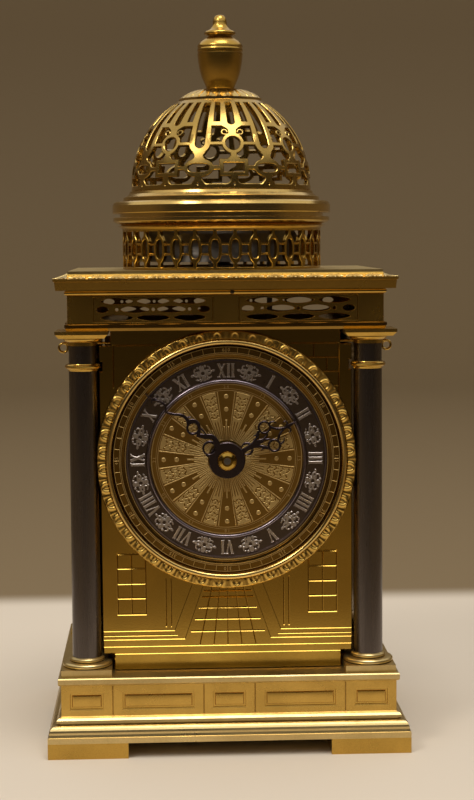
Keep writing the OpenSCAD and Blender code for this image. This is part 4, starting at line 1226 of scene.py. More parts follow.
@dataclass
class Dome:
    """The pierced dome: a bent fret, a gadrooned cap and a turned finial.

    Names that end in _s are lengths up the shell from its foot.
    """

    foot_z: float = 248.5
    foot_r: float = 41.2
    bulge_r: float = 44.2
    straight: float = 2.5
    wall: float = 1.8
    top: float = 48.78
    repeats: int = 8
    front: float = 6.3
    true_s: float = 11.0
    band_s: float = 2.2
    oval_s: float = 9.2
    panel_s: float = 9.35
    arch_s: float = 20.4
    ring_s: float = 20.55
    crown_s: float = 31.9
    slot_s: float = 45.35
    rivet: tuple[float, float] = (2.1, 0.4)
    cap_z: float = 289.3
    cap_r: float = 18.9
    cap_bore: float = 2.15
    cap_high: float = 5.6
    lobes: int = 24
    finial_z: float = 294.9

    def place(self, x: float, s: float, depth: float) -> Vector:
        """Returns the place of a point of the shell.

        Args:
            x: degrees round from the middle of the repeat.
            s: length up the shell from its foot.
            depth: distance below the outside.

        Returns:
            The point, with the repeat's middle on +X.
        """
        t = math.radians(x)
        if s < self.straight:
            r, z = self.foot_r - depth, s
        else:
            a = (s - self.straight) / self.bulge_r
            r = (self.bulge_r - depth) * math.cos(a) - (self.bulge_r - self.foot_r)
            z = self.straight + (self.bulge_r - depth) * math.sin(a)
        return Vector((r * math.cos(t), r * math.sin(t), self.foot_z + z))

    def at(self, middle: float, ring: Iterable[Flat]) -> Ring:
        """Turns widths in mm round a middle in degrees into degrees."""
        return [(middle + math.degrees(x / self.place(0, s, 0).x), s) for x, s in ring]

    def pattern(self) -> tuple[list[Ring], list[Ring]]:
        """Returns the metal and the openings of one repeat, in degrees and mm."""
        half = 180 / self.repeats
        whole = half + 1
        solids = [
            [(-whole, low), (whole, low), (whole, high), (-whole, high)]
            for low, high in ((0, self.band_s), (self.crown_s, self.top))
        ]
        frame = [
            block(0, self.panel_s, 12.9, 7.7),
            mirrored([(3.2, 2.0), (1.75, 3.2), (1.65, 4.6), (1.65, 6.0)])[::-1],
            mirrored([(3.2, 13.0), (1.45, 14.5), (1.4, 16.2)])[::-1],
            circle(0, self.ring_s, 5.0, 36),
            mirrored([
                (1.95, 24.6), (1.75, 25.9), (1.95, 27.3), (3.1, 28.4),
                (4.4, 29.2), (4.6, 29.9), (4.6, 32.2),
            ])[::-1],
        ]
        solids += [self.at(0, ring) for ring in frame]
        rivet = circle(0, *self.rivet, 10)
        openings = [
            block(0, self.panel_s, 9.1, 4.1),
            circle(0, self.ring_s, 3.3, 32),
            rivet,
            mirrored([*quarter(31.75, 1.65, 8), (1.3, self.slot_s)]),
        ]
        holes = [self.at(0, ring) for ring in openings]
        strap = [*quarter(self.arch_s, 4.93, 10), (4.4, 28.5), (4.1, 32.2)]
        well = [*quarter(self.arch_s, 2.2, 8), (2.25, 28.5), (1.43, self.slot_s)]
        for side in (-1, 1):
            oval = [
                circle(0, self.oval_s, 6.75, 36, 4.25 / 6.75),
                mirrored([(3.6, 2.0), (1.7, 4.1), (1.7, 5.6)])[::-1],
                mirrored([(3.4, 12.6), (2.1, 13.9), (2.1, 14.9), (3.3, 16.4)])[::-1],
                mirrored(strap),
            ]
            solids += [self.at(side * half, ring) for ring in oval]
            wells = [rounded(0, self.oval_s, 4.95, 1.95, 0.6, 30), rivet, mirrored(well)]
            holes += [self.at(side * half, ring) for ring in wells]
            scroll = [(1.2, 24.8), (2.4, 24.7), *arc(3.5, 26.05, 1.2, -90, 200, 14)]
            bars = [
                [
                    (6.2, 8.3), (9.0, 8.3), (10.0, 7.6), (11.0, 6.6),
                    (11.0, 11.8), (10.0, 10.8), (9.0, 10.1), (6.2, 10.1),
                ],
                block(7.4, 20.45, 5.8, 1.6),
                block(6.2, 30.6, 6.2, 2.6),
                stroke(scroll, [1.4, 0.9] + [0.8] * 15),
            ]
            solids += [self.at(0, [(side * x, s) for x, s in ring]) for ring in bars]
            low, high = self.crown_s, self.slot_s
            slit = [(-1.42, low), (1.42, low), (1.02, high), (-1.02, high)]
            holes.append(self.at(side * half / 2, slit))
        return solids, holes

    def build(self, shop: Workshop) -> None:
        """Makes the dome's pieces."""
        solids, holes = self.pattern()
        scale = math.degrees(1 / self.place(0, self.true_s, 0).x)
        wide = [[(x / scale, s) for x, s in ring] for ring in solids]
        cut = [[(x / scale, s) for x, s in ring] for ring in holes]
        seam = 180 / self.repeats / scale
        fret = Fret(wide, cut, bevel=0.26, seam=seam, spacing=1.7)
        unit = Maker().add(*fret.solid(lambda x, s, d: self.place(x * scale, s, d), self.wall))
        shell = shop.ring(unit, self.repeats, self.front - 90, DOME_GILT)
        shop.deliver(shell, "pierced_dome", DOME_GILT, Slot.GILT, Body.DOME, ["dome_shell"])
        lobe = Maker().wedge(self.lobes, 12, self.gadroon)
        cap = shop.ring(lobe, self.lobes, 90 / self.lobes, BURNISHED_HIGHLIT)
        shop.deliver(cap, "gadrooned_cap", BURNISHED_HIGHLIT, Slot.TRIM, Body.DOME, ["dome_cap"], 45)
        self.finial(shop)

    def gadroon(self, u: float) -> Ring:
        """Gives the cap's section across one of its lobes.

        Args:
            u: place across the lobe, from -1 to 1.

        Returns:
            The section as radii and heights.
        """
        rows, lip = 9, 1.0
        foot_r, run, rise = 17.9, 11.3, 4.4
        out, up = 0.75, 0.2
        ring = [(self.cap_bore, self.cap_z), (self.cap_r, self.cap_z)]
        ring.append((self.cap_r, self.cap_z + lip))
        swell = math.sqrt(max(0.0, 1 - u * u))
        for i in range(rows + 1):
            t = i / rows
            fade = math.cos(t * math.pi / 2) ** 0.7
            r = foot_r - run * t + out * swell * fade
            z = lip + rise * math.sin(t * math.pi / 2) ** 0.8 + up * swell * fade
            ring.append((r, self.cap_z + min(z, self.cap_high)))
        ring.append((self.cap_bore, self.cap_z + self.cap_high))
        return ring

    def finial(self, shop: Workshop) -> None:
        """Makes the turned vase."""
        outline = [
            (0, 0), (6.3, 0), (6.5, 0.5), (6.6, 1.0), (7.4, 2.8), (8.2, 4.6), (8.9, 6.6),
            (9.5, 9.0), (9.95, 11.6), (10.2, 13.6), (10.35, 15.1), (10.4, 15.6), (10.35, 16.0),
            (10.1, 16.2), (10.1, 16.7), (10.35, 16.9), (10.4, 17.3), (10.38, 18.0), (10.15, 18.3),
            (10.15, 18.6), (10.38, 18.8), (10.35, 19.3), (10.0, 20.1), (9.2, 21.1), (8.1, 22.0),
            (6.8, 22.8), (5.6, 23.3), (5.35, 23.6), (5.4, 24.0), (6.4, 24.3), (7.1, 24.7),
            (7.2, 25.1), (7.1, 25.5), (6.6, 26.0), (5.4, 26.5), (4.5, 27.1), (3.7, 28.0),
            (3.3, 29.0), (3.2, 30.2), (3.0, 31.2), (2.6, 32.3), (1.9, 33.1), (1.0, 33.38),
            (0, 33.4),
        ]
        spigot = [(0, -self.cap_high), (2.0, -self.cap_high), (2.0, 0), (0, 0)]
        lift = Matrix.Translation((0, 0, self.finial_z))
        made = Maker().turned(outline, move=lift)
        made.turned(spigot, 32, lift)
        shop.deliver(made, "turned_finial", GILT, Slot.GILT, Body.DOME, ["finial"], 40)


def quarter(y: float, r: float, steps: int) -> list[Flat]:
    """Returns an arc round (0, y) from straight down to the right."""
    turns = [-math.pi / 2 + math.pi / 2 * k / steps for k in range(steps + 1)]
    return [(r * math.cos(a), y + r * math.sin(a)) for a in turns]


@dataclass
class Drum:
    """The pierced drum under the dome."""

    radius: float = 45.6
    wall: float = 2.0
    foot_z: float = 213.0
    height: float = 19.7
    ovals: int = 32
    low: float = 1.2
    high: float = 17.2

    def bend(self, x: float, y: float, depth: float) -> Vector:
        """Bends the sheet round the drum."""
        a = x / self.radius
        r = self.radius - depth
        return Vector((r * math.cos(a), r * math.sin(a), self.foot_z + y))

    def build(self, shop: Workshop) -> None:
        """Makes the pierced wall: framed ovals with small squares between."""
        w = 2 * math.pi * self.radius / self.ovals
        mid = (self.low + self.high) / 2
        holes = [rounded(0, mid, 1.7, 4.2, 0.6, 28)]
        upper = [(2.75, mid + 2.65), (2.7, mid + 3.4), (1.9, mid + 5.0), (0.85, mid + 6.2)]
        upper.append((0.8, self.high))
        for side in (-1, 1):
            holes.append(block(side * w / 2, mid, 2.9, 3.6))
            gap = mirrored([(side * x, y) for x, y in upper], side * w / 2)
            holes.append(gap)
            holes.append([(x, 2 * mid - y) for x, y in gap])
        sheet = block(0, self.height / 2, w + 2, self.height)
        fret = Fret([sheet], holes, bevel=0.2, seam=w / 2, spacing=2.0)
        unit = Maker().add(*fret.solid(self.bend, self.wall))
        made = shop.ring(unit, self.ovals, -90 + 180 / self.ovals, GILT)
        r, z = self.radius - 0.2, self.foot_z + self.height
        lip = 2.2
        cove = arc(r + lip, z - lip, 2.0, 180, 90, 8)
        made.turned([(r, z - 2.4), *cove, (r + lip, z), (r, z)])
        shop.deliver(made, "pierced_drum", GILT, Slot.GILT, Body.CASE, ["drum"])


# Entablature


@dataclass
class Frieze:
    """The pierced strapwork between the architrave and the cornice."""

    half_x: float = 69.0
    half_y: float = 49.0
    low: float = 190.1
    high: float = 202.5
    wall: float = 2.0
    groove: float = 0.4
    corner: float = 13.65
    middle: float = 7.95

    def openings(self, pitch: float, units: int, start: float) -> list[Ring]:
        """Draws the openings of one panel.

        Args:
            pitch: length of a unit of the pattern.
            units: how many units the panel has.
            start: where it starts.

        Returns:
            The openings.
        """
        mid = (self.low + self.high) / 2
        row, inset = 3.6, 1.6
        made = []
        for i in range(units):
            x = start + (i + 0.5) * pitch
            for y in (mid + row, mid - row):
                made.append(rounded(x, y, (pitch - 1.8) / 2, 1.35, 1.3, 28))
            made.append(circle(x, mid, 0.75, 12))
        for i in range(1, units):
            made.append(rounded(start + i * pitch, mid, (pitch - 3.4) / 2, 1.5, 1.15, 28))
        for x in (start + inset, start + units * pitch - inset):
            made.append(rounded(x, mid, 2.7, 1.4, 1.0, 18))
        return made

    def border(self, start: float, end: float) -> list[Ring]:
        """Returns the engraved frame round a panel."""
        margin, beyond, line = 0.9, 2.2, 0.3
        low, high = self.low + margin, self.high - margin
        left, right = start - beyond, end + beyond
        corners = [(left, low), (right, low), (right, high), (left, high), (left, low)]
        return [stroke([a, b], line) for a, b in zip(corners, corners[1:])]

    def build(self, shop: Workshop) -> None:
        """Makes the four pierced walls."""
        made = Maker()
        walls = ((0, self.half_x, self.half_y, 3), (90, self.half_y, self.half_x, 2))
        for turn, half, out, units in walls:
            pitch = (half - self.corner - self.middle) / units
            holes, lines = [], []
            for start in (self.middle, -half + self.corner):
                holes += self.openings(pitch, units, start)
                lines += self.border(start, start + units * pitch)
            reach = half if turn == 0 else half - self.wall
            sheet = [block(0, (self.low + self.high) / 2, 2 * reach, self.high - self.low)]
            face = Fret(sheet, holes + lines, bevel=0.14).solid(
                lambda x, y, d: Vector((x, -out + d, y)), self.groove
            )
            back = Fret(sheet, holes, bevel=0.05).solid(
                lambda x, y, d: Vector((x, -out + self.groove + d, y)),
                self.wall - self.groove,
                drop=0.0,
            )
            for extra in (0, 180):
                spin = Matrix.Rotation(math.radians(turn + extra), 4, "Z")
                made.add(*face, spin).add(*back, spin)
        shop.deliver(made, "strapwork_frieze", GILT, Slot.GILT, Body.CASE, ["frieze"])


@dataclass
class Cornice:
    """The stamped leaves on the cornice's hollow, and its small pin."""

    half_x: float = 74.8
    half_y: float = 54.8
    edge_z: float = 209.8
    depth: float = 6.1
    rise: float = 2.0
    leaf: float = 0.55
    sunk: float = 0.15
    pitch: float = 8.2
    foot: float = 5.75
    pin: tuple[float, float, float] = (2.7, -49.3, 203.65)

    def lie(self, x: float, y: float, depth: float) -> Vector:
        """Lays a plan point on the cornice's hollow.

        Args:
            x: its place across.
            y: its place backwards.
            depth: its depth below the leaves' face.

        Returns:
            The point.
        """
        inset = min(self.half_x - abs(x), self.half_y - abs(y))
        share = min(1.0, max(0.0, inset / self.depth))
        z = self.edge_z + self.rise * (1 - math.sqrt(1 - share * share))
        return Vector((x, y, z + self.leaf - self.sunk - depth))

    def palmette(self) -> list[Ring]:
        """Returns the lobes of a leaf, its foot at the inner edge, as x and inset."""
        lobes = []
        sizes = ((0, 5.3, 0.85), (26, 5.3, 0.8), (-26, 5.3, 0.8), (54, 4.6, 0.7), (-54, 4.6, 0.7))
        for turn, length, wide in sizes:
            lobe = circle(0, -length / 2, length / 2, 14)
            lobe = [(x * wide / (length / 2), y) for x, y in lobe]
            lobes.append(moved(turned_by(lobe, turn), 0, self.foot))
        return lobes

    def build(self, shop: Workshop) -> None:
        """Makes the leaf band and the pin."""
        made = Maker()
        leaf = Fret(self.palmette(), bevel=0.16)
        sides = ((0, self.half_x, self.half_y), (90, self.half_y, self.half_x))
        for turn, half, out in sides:
            count = int(2 * (half - self.depth) / self.pitch)
            step = 2 * (half - self.depth) / count
            first = -half + self.depth + step / 2

            def front(x: float, y: float, depth: float) -> Vector:
                """Lays the first leaf of a row on the hollow."""
                p = self.lie(0, -self.half_y + y, depth)
                return Vector((x + first, p.y + self.half_y - out, p.z))

            unit = Maker().add(*leaf.solid(front, self.leaf))
            line = shop.row(unit, count, step, BURNISHED_HIGHLIT)
            for extra in (0, 180):
                made.join(line, Matrix.Rotation(math.radians(turn + extra), 4, "Z"))
        for sx, sy in ((-1, -1), (1, -1), (1, 1), (-1, 1)):
            turn = 45 if sx * sy > 0 else -45

            def corner(x: float, y: float, depth: float) -> Vector:
                """Lays a leaf across a corner's mitre."""
                inward, slant = (y + 0.6) * 1.2, math.sqrt(2)
                px = sx * (self.half_x - inward / slant) - x * sx / slant
                py = sy * (self.half_y - inward / slant) + x * sy / slant
                return self.lie(px, py, depth)

            verts, faces = leaf.solid(corner, self.leaf)
            made.add(verts, faces if turn > 0 else [f[::-1] for f in faces])
        shop.deliver(made, "stamped_cornice_leaves", WORN_HIGHLIT, Slot.TRIM)
        place = Matrix.Translation(self.pin) @ Matrix.Rotation(math.radians(90), 4, "X")
        head = Maker().turned([(0, 0), (0.95, 0), (0.95, 0.9), (0.7, 1.25), (0, 1.4)], 20, place)
        shop.deliver(head, "cornice_pin", BROWNED, Slot.DARK)


# Base


@dataclass
class Dado:
    """The panelled block of the base: fielded panels between fine grooves.

    The profiles of a panel's edge and of a groove's end are pairs of a
    distance inwards and a depth, and the groove has a half width at each.
    """

    half_x: float = 74.1
    half_y: float = 54.1
    low: float = 17.7
    high: float = 31.5
    panel_low: float = 20.3
    panel_high: float = 28.3
    wall: float = 4.0
    column_x: float = 62.9
    column_y: float = 41.6
    middle_groove: float = 11.3
    end_groove: float = 11.5
    side_groove: float = 11.0
    small_panel: float = 7.75
    stile: float = 3.85
    side_stile: float = 4.6
    edge: tuple[Flat, ...] = (
        (0, 0.0), (0.45, 0.2), (0.6, 0.75), (1.3, 0.75), (1.6, 0.2), (1.9, 0.12),
    )
    cut: tuple[Flat, ...] = ((0.4, 0.0), (0.55, 0.5))
    cut_widths: tuple[float, float] = (0.28, 0.12)

    def panels(self, front: bool) -> list[Flat]:
        """Works out a side's panels.

        Args:
            front: whether it is the front or the back.

        Returns:
            The panels' middles and half widths.
        """
        if front:
            outer = self.column_x - self.end_groove
            half = (outer - self.middle_groove) / 2 - self.stile
            wide = ((outer + self.middle_groove) / 2, half)
            pair = (wide, (self.column_x, self.small_panel))
            return [(0, self.small_panel)] + [(s * x, w) for s in (-1, 1) for x, w in pair]
        side = self.column_y - self.side_groove
        ends = [(s * self.column_y, self.small_panel) for s in (-1, 1)]
        return [(0, side - self.side_stile), *ends]

    def grooves(self, front: bool) -> list[float]:
        """Returns where a side's grooves are."""
        if front:
            pair = (self.middle_groove, self.column_x - self.end_groove)
            return [s * x for s in (-1, 1) for x in pair]
        return [s * (self.column_y - self.side_groove) for s in (-1, 1)]

    def side(self, front: bool) -> Maker:
        """Makes one side as a slab with sunk and fielded panels.

        Args:
            front: whether it is the front or the back.

        Returns:
            The slab, as it stands at the front.
        """
        half = self.half_x if front else self.half_y
        out = self.half_y if front else self.half_x
        mid, tall = (self.low + self.high) / 2, self.high - self.low
        panel_z, h = (self.panel_low + self.panel_high) / 2, self.panel_high - self.panel_low
        sunk = [
            (x, panel_z, [(w - inset, h / 2 - inset, depth) for inset, depth in self.edge])
            for x, w in self.panels(front)
        ]
        reach = (self.high - self.low) / 2
        groove = [(w, reach - short, deep) for w, (short, deep) in zip(self.cut_widths, self.cut)]
        sunk += [(x, mid, groove) for x in self.grooves(front)]
        made = Maker()
        holes = [block(x, z, 2 * steps[0][0], 2 * steps[0][1]) for x, z, steps in sunk]
        points, faces = plane_cut([block(0, mid, 2 * half, tall)], holes)
        made.add([Vector((x, -out, z)) for x, z in points], faces)
        for x, z, steps in sunk:
            verts = [
                Vector((p, -out + depth, q))
                for wide, high, depth in steps
                for p, q in block(x, z, 2 * wide, 2 * high)
            ]
            walls = [
                (4 * i + k, 4 * i + (k + 1) % 4, 4 * i + 4 + (k + 1) % 4, 4 * i + 4 + k)
                for i in range(len(steps) - 1)
                for k in range(4)
            ]
            made.add(verts, [*walls, tuple(range(len(verts) - 4, len(verts)))])
        verts = [Vector((x, -out, z)) for x, z in block(0, mid, 2 * half, tall)]
        inside = block(0, mid, 2 * (half - self.wall), tall)
        verts += [Vector((x, self.wall - out, z)) for x, z in inside]
        made.add(verts, [(7, 6, 5, 4), (1, 0, 4, 5), (3, 2, 6, 7)])
        return made

    def build(self, shop: Workshop) -> None:
        """Makes the four sides."""
        made = Maker()
        for turn in range(4):
            made.join(self.side(turn % 2 == 0), Matrix.Rotation(turn * math.pi / 2, 4, "Z"))
        whole = made.welded()
        shop.deliver(whole, "panelled_dado", CHASED, Slot.GILT, Body.CASE, ["base_dado"], 20)


# Engraved walls


@dataclass
class FrontPlate:
    """The front plate, engraved with a paved hall, steps and two windows.

    The steps lie on each other, each one step proud of the last. The first
    few carry the engraving as the plate does.
    """

    face_y: float = -40.7
    thick: float = 3.0
    skin: float = 0.35
    step: float = 0.24
    engraved: int = 2
    lap: float = 0.02
    bevel: float = 0.26
    step_bevel: float = 0.24
    bore: float = 3.9
    dial_z: float = 129.5
    thin: float = 0.1
    wide: float = 0.3

    def outline(self) -> Ring:
        """Returns the plate's outline, cut away at the columns."""
        half = [
            (50.8, 35.05), (50.8, 42.4), (55.8, 42.4), (55.8, 168.8), (54.5, 168.8), (54.5, 173.2),
            (55.8, 173.2), (55.8, 180.1), (50.8, 180.1), (50.8, 186.85),
        ]
        return mirrored(half)

    def front(self, x: float, z: float, depth: float) -> Vector:
        """Returns the place of a point below the plate's face."""
        return Vector((x, self.face_y + depth, z))

    def grid(self, left: float, right: float, courses: Sequence[float]) -> list[Ring]:
        """Returns a window: wide courses, and thin bars at its sides and middle."""
        rings = [stroke([(left, z), (right, z)], self.wide) for z in courses]
        for x in (left, (left + right) / 2, right):
            rings.append(stroke([(x, courses[0]), (x, courses[-1])], self.thin))
        return rings

    def cuts(self) -> list[Ring]:
        """Returns the engraved lines as narrow openings."""
        # The tiles above the dial: their joints, and the frame beside them.
        lines = [[(-49.5, 161.7), (-49.5, 180.2), (-30.0, 180.2)]]
        for start, z in ((28.9, 180.5), (33.6, 174.2), (39.5, 167.9), (46.0, 161.6)):
            lines.append([(start, z), (50.0, z)])
        for x, low, high in ((38.9, 174.2, 180.5), (44.7, 167.9, 174.2), (50.0, 158.0, 180.5)):
            lines.append([(x, low), (x, high)])
        # The door frames, the ledge and the paving's diagonal joints.
        for side in (-1, 1):
            lines += [[(side * x, 54.2), (side * x, 76.0)] for x in (25.2, 27.5)]
            lines += [[(side * 22.6, 50.3), (side * 55.3, 50.3)]]
        lines += [[(3.5 * k, 72.6), (6.3 * k, 45.7)] for k in (-2, -1, 0, 1, 2)]
        rings = [stroke([a, b], self.thin) for line in lines for a, b in zip(line, line[1:])]
        rings += [stroke([(-w, z), (w, z)], self.wide) for w, z in self.paving()]
        rings += self.grid(-49.0, -36.5, (59.9, 67.2, 73.8, 80.7, 87.2))
        return rings + self.grid(36.3, 48.9, (60.0, 67.3, 74.0, 80.8, 87.5))

    @staticmethod
    def paving() -> list[Flat]:
        """Returns the half widths and heights of the floor's joints."""
        return [(10.6, 70.3), (11.5, 67.5), (12.8, 62.6), (14.5, 57.4), (16.4, 51.9)]

    def terraces(self) -> list[Ring]:
        """Returns the outlines of the raised steps, from the lowest up."""
        made = []
        for corner, z in ((23.9, 52.4), (19.3, 48.6)):
            side = [(55.6, 42.6), (55.6, z), (corner, z), (corner - 8.9 + (z - 48.6) * 0.12, 74.4)]
            made.append(mirrored([(50.6, 36.0), (50.6, 42.6), *side]))
        made.append(mirrored([(50.6, 35.6), (50.6, 42.6), (55.5, 42.6), (55.5, 45.5)]))
        made.append(mirrored([(50.6, 35.2), (50.6, 42.3)]))
        return made

    def build(self, shop: Workshop) -> None:
        """Makes the engraved plate."""
        bore = circle(0, self.dial_z, self.bore, 32)
        made = Maker()
        cuts = self.cuts()
        face = Fret([self.outline()], [bore, *cuts], bevel=self.bevel)
        made.add(*face.solid(self.front, self.skin, drop=0.22))
        points, faces = plane_cut([self.outline()], [bore])
        made.add(*thicken(
            points, faces, lambda x, z, d: self.front(x, z, self.skin + d), self.thick - self.skin
        ))
        for k, ring in enumerate(self.terraces(), 1):
            def step(x: float, z: float, depth: float) -> Vector:
                """Returns the place of a point of one raised step."""
                return self.front(x, z, depth - k * self.step)

            holes = cuts if k <= self.engraved else []
            terrace = Fret([ring], holes, bevel=self.step_bevel)
            made.add(*terrace.solid(step, self.step - self.lap, drop=0.2))
        catch = block(26.5, 34.2, 5.0, 3.6)
        made.add(*Fret([catch], bevel=0.3).solid(lambda x, z, d: self.front(x, z, d + 0.2), 2.0))
        shop.deliver(made, "engraved_front_plate", PLATE_GILT, Slot.GILT, replaced=["front_plate"])


@dataclass
class Wall:
    """An engraved skin on a side door or the back plate: a blind arcade."""

    half: float
    low: float = 46.0
    high: float = 165.0
    skin: float = 0.4
    line: float = 0.12
    niche: float = 0.62
    margin: float = 2
    rim: float = 5
    course: float = 6.4

    def scratch(self, path: Sequence[Flat]) -> Ring:
        """Returns an engraved line along a path."""
        return stroke(path, self.line)

    def arch(self, r: float, foot: float, spring: float) -> Ring:
        """Returns the line of a round-headed niche."""
        return self.scratch([(r, foot), *arc(0, spring, r, 0, 180, 24), (-r, foot)])

    def cuts(self) -> list[Ring]:
        """Returns the engraved lines as narrow openings."""
        edge, r = self.half - self.margin, self.half * self.niche
        low, high = self.low + self.margin, self.high - self.margin
        sill, foot, spring = self.low + 8, self.low + 16, self.high - 14 - r
        box = [(-edge, low), (edge, low), (edge, high), (-edge, high)]
        rings = [self.scratch([a, b]) for a, b in zip(box, [*box[1:], box[0]])]
        rings += [self.arch(r, foot, spring), self.arch(r - 3, foot, spring)]
        rings += [self.scratch([(-edge, z), (edge, z)]) for z in (foot, foot - 2.4, sill)]
        inner, outer, rays = r - 2.9, r + self.rim, 11
        for a in (math.radians(15 + 15 * k) for k in range(rays)):
            ray = [(q * math.cos(a), spring + q * math.sin(a)) for q in (inner, outer)]
            rings.append(self.scratch(ray))
        rings.append(self.scratch(arc(0, spring, outer, 0, 180, 24)))
        tall = spring - foot
        courses = int(tall / self.course)
        for k in range(1, courses + 1):
            z = foot + k * tall / courses
            joint = (r + self.half - self.margin) / 2 + (1.6 if k % 2 else -1.6)
            for side in (-1, 1):
                rings.append(self.scratch([(side * r, z), (side * edge, z)]))
                rings.append(self.scratch([(side * joint, z - tall / courses), (side * joint, z)]))
        for x in (edge * k / 4 for k in (1, 2, 3)):
            for side in (-1, 1):
                rings.append(self.scratch([(side * x, low), (side * x * 0.8, sill)]))
        return rings

    def solid(self, place: Place, holes: Sequence[Ring] = ()) -> Solid:
        """Cuts the skin and lays it in place."""
        sheet = block(0, (self.low + self.high) / 2, 2 * self.half, self.high - self.low)
        face = Fret([sheet], [*self.cuts(), *holes], bevel=0.26)
        return face.solid(place, self.skin, drop=0.22)


@dataclass
class Walls:
    """The engraving of the side doors and the back plate."""

    door_x: float = 62.3
    door_ends: tuple[float, float] = (34.8, 187.1)
    back_y: float = 40.7
    knob_y: float = -23.5
    knob_hole: float = 3.4
    winding: tuple[float, float] = (27.92, 116.48)
    winding_hole: float = 7.6
    proud: float = 0.3

    def build(self, shop: Workshop) -> None:
        """Makes the skins, with holes for the knobs and the winding."""
        door = Wall(31.0)
        knob_z = sum(self.door_ends) / 2
        for body, side in ((Body.RIGHT_DOOR, 1), (Body.LEFT_DOOR, -1)):
            def place(x: float, z: float, depth: float) -> Vector:
                """Lays the skin on the outside of a door."""
                return Vector((side * (self.door_x + self.proud - depth), side * x, z))

            hole = circle(side * self.knob_y, knob_z, self.knob_hole, 24)
            made = Maker().add(*door.solid(place, [hole]))
            shop.deliver(made, f"{body.value}_engraving", PLATE_GILT, Slot.GILT, body)
        x, z = self.winding
        holes = [circle(s * x, z, self.winding_hole, 36) for s in (-1, 1)]

        def behind(px: float, pz: float, depth: float) -> Vector:
            """Lays the skin on the back of the back plate."""
            return Vector((-px, self.back_y + self.proud - depth, pz))

        back = Maker().add(*Wall(48.0).solid(behind, holes))
        shop.deliver(back, "back_plate_engraving", PLATE_GILT, Slot.GILT)


# Dial


@dataclass
class Figures:
    """Arabic figures, each cut once from the plain built-in face."""

    size: float
    digits: int = 4
    sliver: float = 1e-7
    cut: dict[str, tuple[list[Flat], Faces]] = field(default_factory=dict)

    def flat(self, text: str) -> tuple[list[Flat], Faces]:
        """Cuts a figure, with its middle at the origin.

        Args:
            text: the figure.

        Returns:
            Its points and faces.
        """
        if text not in self.cut:
            curve = bpy.data.curves.new("figure", "FONT")
            curve.body = text
            curve.size = self.size
            curve.resolution_u = 2
            thing = bpy.data.objects.new("figure", curve)
            bpy.context.scene.collection.objects.link(thing)
            graph = bpy.context.evaluated_depsgraph_get()
            mesh = bpy.data.meshes.new_from_object(thing.evaluated_get(graph))
            spots: dict[Flat, int] = {}
            near = [(round(v.co.x, self.digits), round(v.co.y, self.digits)) for v in mesh.vertices]
            index = [spots.setdefault(spot, len(spots)) for spot in near]
            points = list(spots)
            mx = (min(p[0] for p in points) + max(p[0] for p in points)) / 2
            my = (min(p[1] for p in points) + max(p[1] for p in points)) / 2
            points = moved(points, -mx, -my)
            faces = []
            for polygon in mesh.polygons:
                f = tuple(index[i] for i in polygon.vertices)
                area = signed_area([points[i] for i in f])
                if abs(area) > self.sliver and len(set(f)) == len(f):
                    faces.append(f if area > 0 else f[::-1])
            self.cut[text] = (points, faces)
            bpy.data.objects.remove(thing)
            bpy.data.meshes.remove(mesh)
        return self.cut[text]

    def raised(self, text: str, height: float, thick: float) -> Solid:
        """Returns a raised figure whose face is at a height along Z."""
        return thicken(*self.flat(text), level(height), thick)


def on_dial(angle: float, radius: float) -> Matrix:
    """Returns the way to a place on the dial, clockwise from twelve in degrees."""
    return Matrix.Rotation(math.radians(-angle), 4, "Z") @ Matrix.Translation((0, radius, 0))


def roman(text: str, tall: float) -> list[Ring]:
    """Draws a Roman number, with its middle at the origin.

    Args:
        text: its letters.
        tall: their height.

    Returns:
        The outlines of its strokes.
    """
    advance = {"I": 1.95, "V": 4.1, "X": 4.1}
    thick, thin, serif, lean = 1.15, 0.6, 0.45, 1.25
    h = tall / 2
    top, foot = h - 0.1, -h + 0.1
    x = -sum(advance[c] for c in text) / 2
    rings = []
    for c in text:
        mid = x + advance[c] / 2
        if c == "I":
            rings.append(block(mid, 0, thick, tall))
            rings += [block(mid, s * (h - serif / 2), 1.55, serif) for s in (-1, 1)]
        elif c == "V":
            rings.append(stroke([(mid - lean, top), (mid + 0.1, foot)], thick))
            rings.append(stroke([(mid + 1.3, top), (mid + 0.1, foot)], thin))
            rings += [block(mid + s * lean, h - serif / 2, 1.35, serif) for s in (-1, 1)]
        else:
            rings.append(stroke([(mid - lean, top), (mid + lean, foot)], thick))
            rings.append(stroke([(mid + lean, top), (mid - lean, foot)], thin))
            ends = [(s * lean, t * (h - serif / 2)) for s in (-1, 1) for t in (-1, 1)]
            rings += [block(mid + dx, y, 1.3, serif) for dx, y in ends]
        x += advance[c]
    return rings


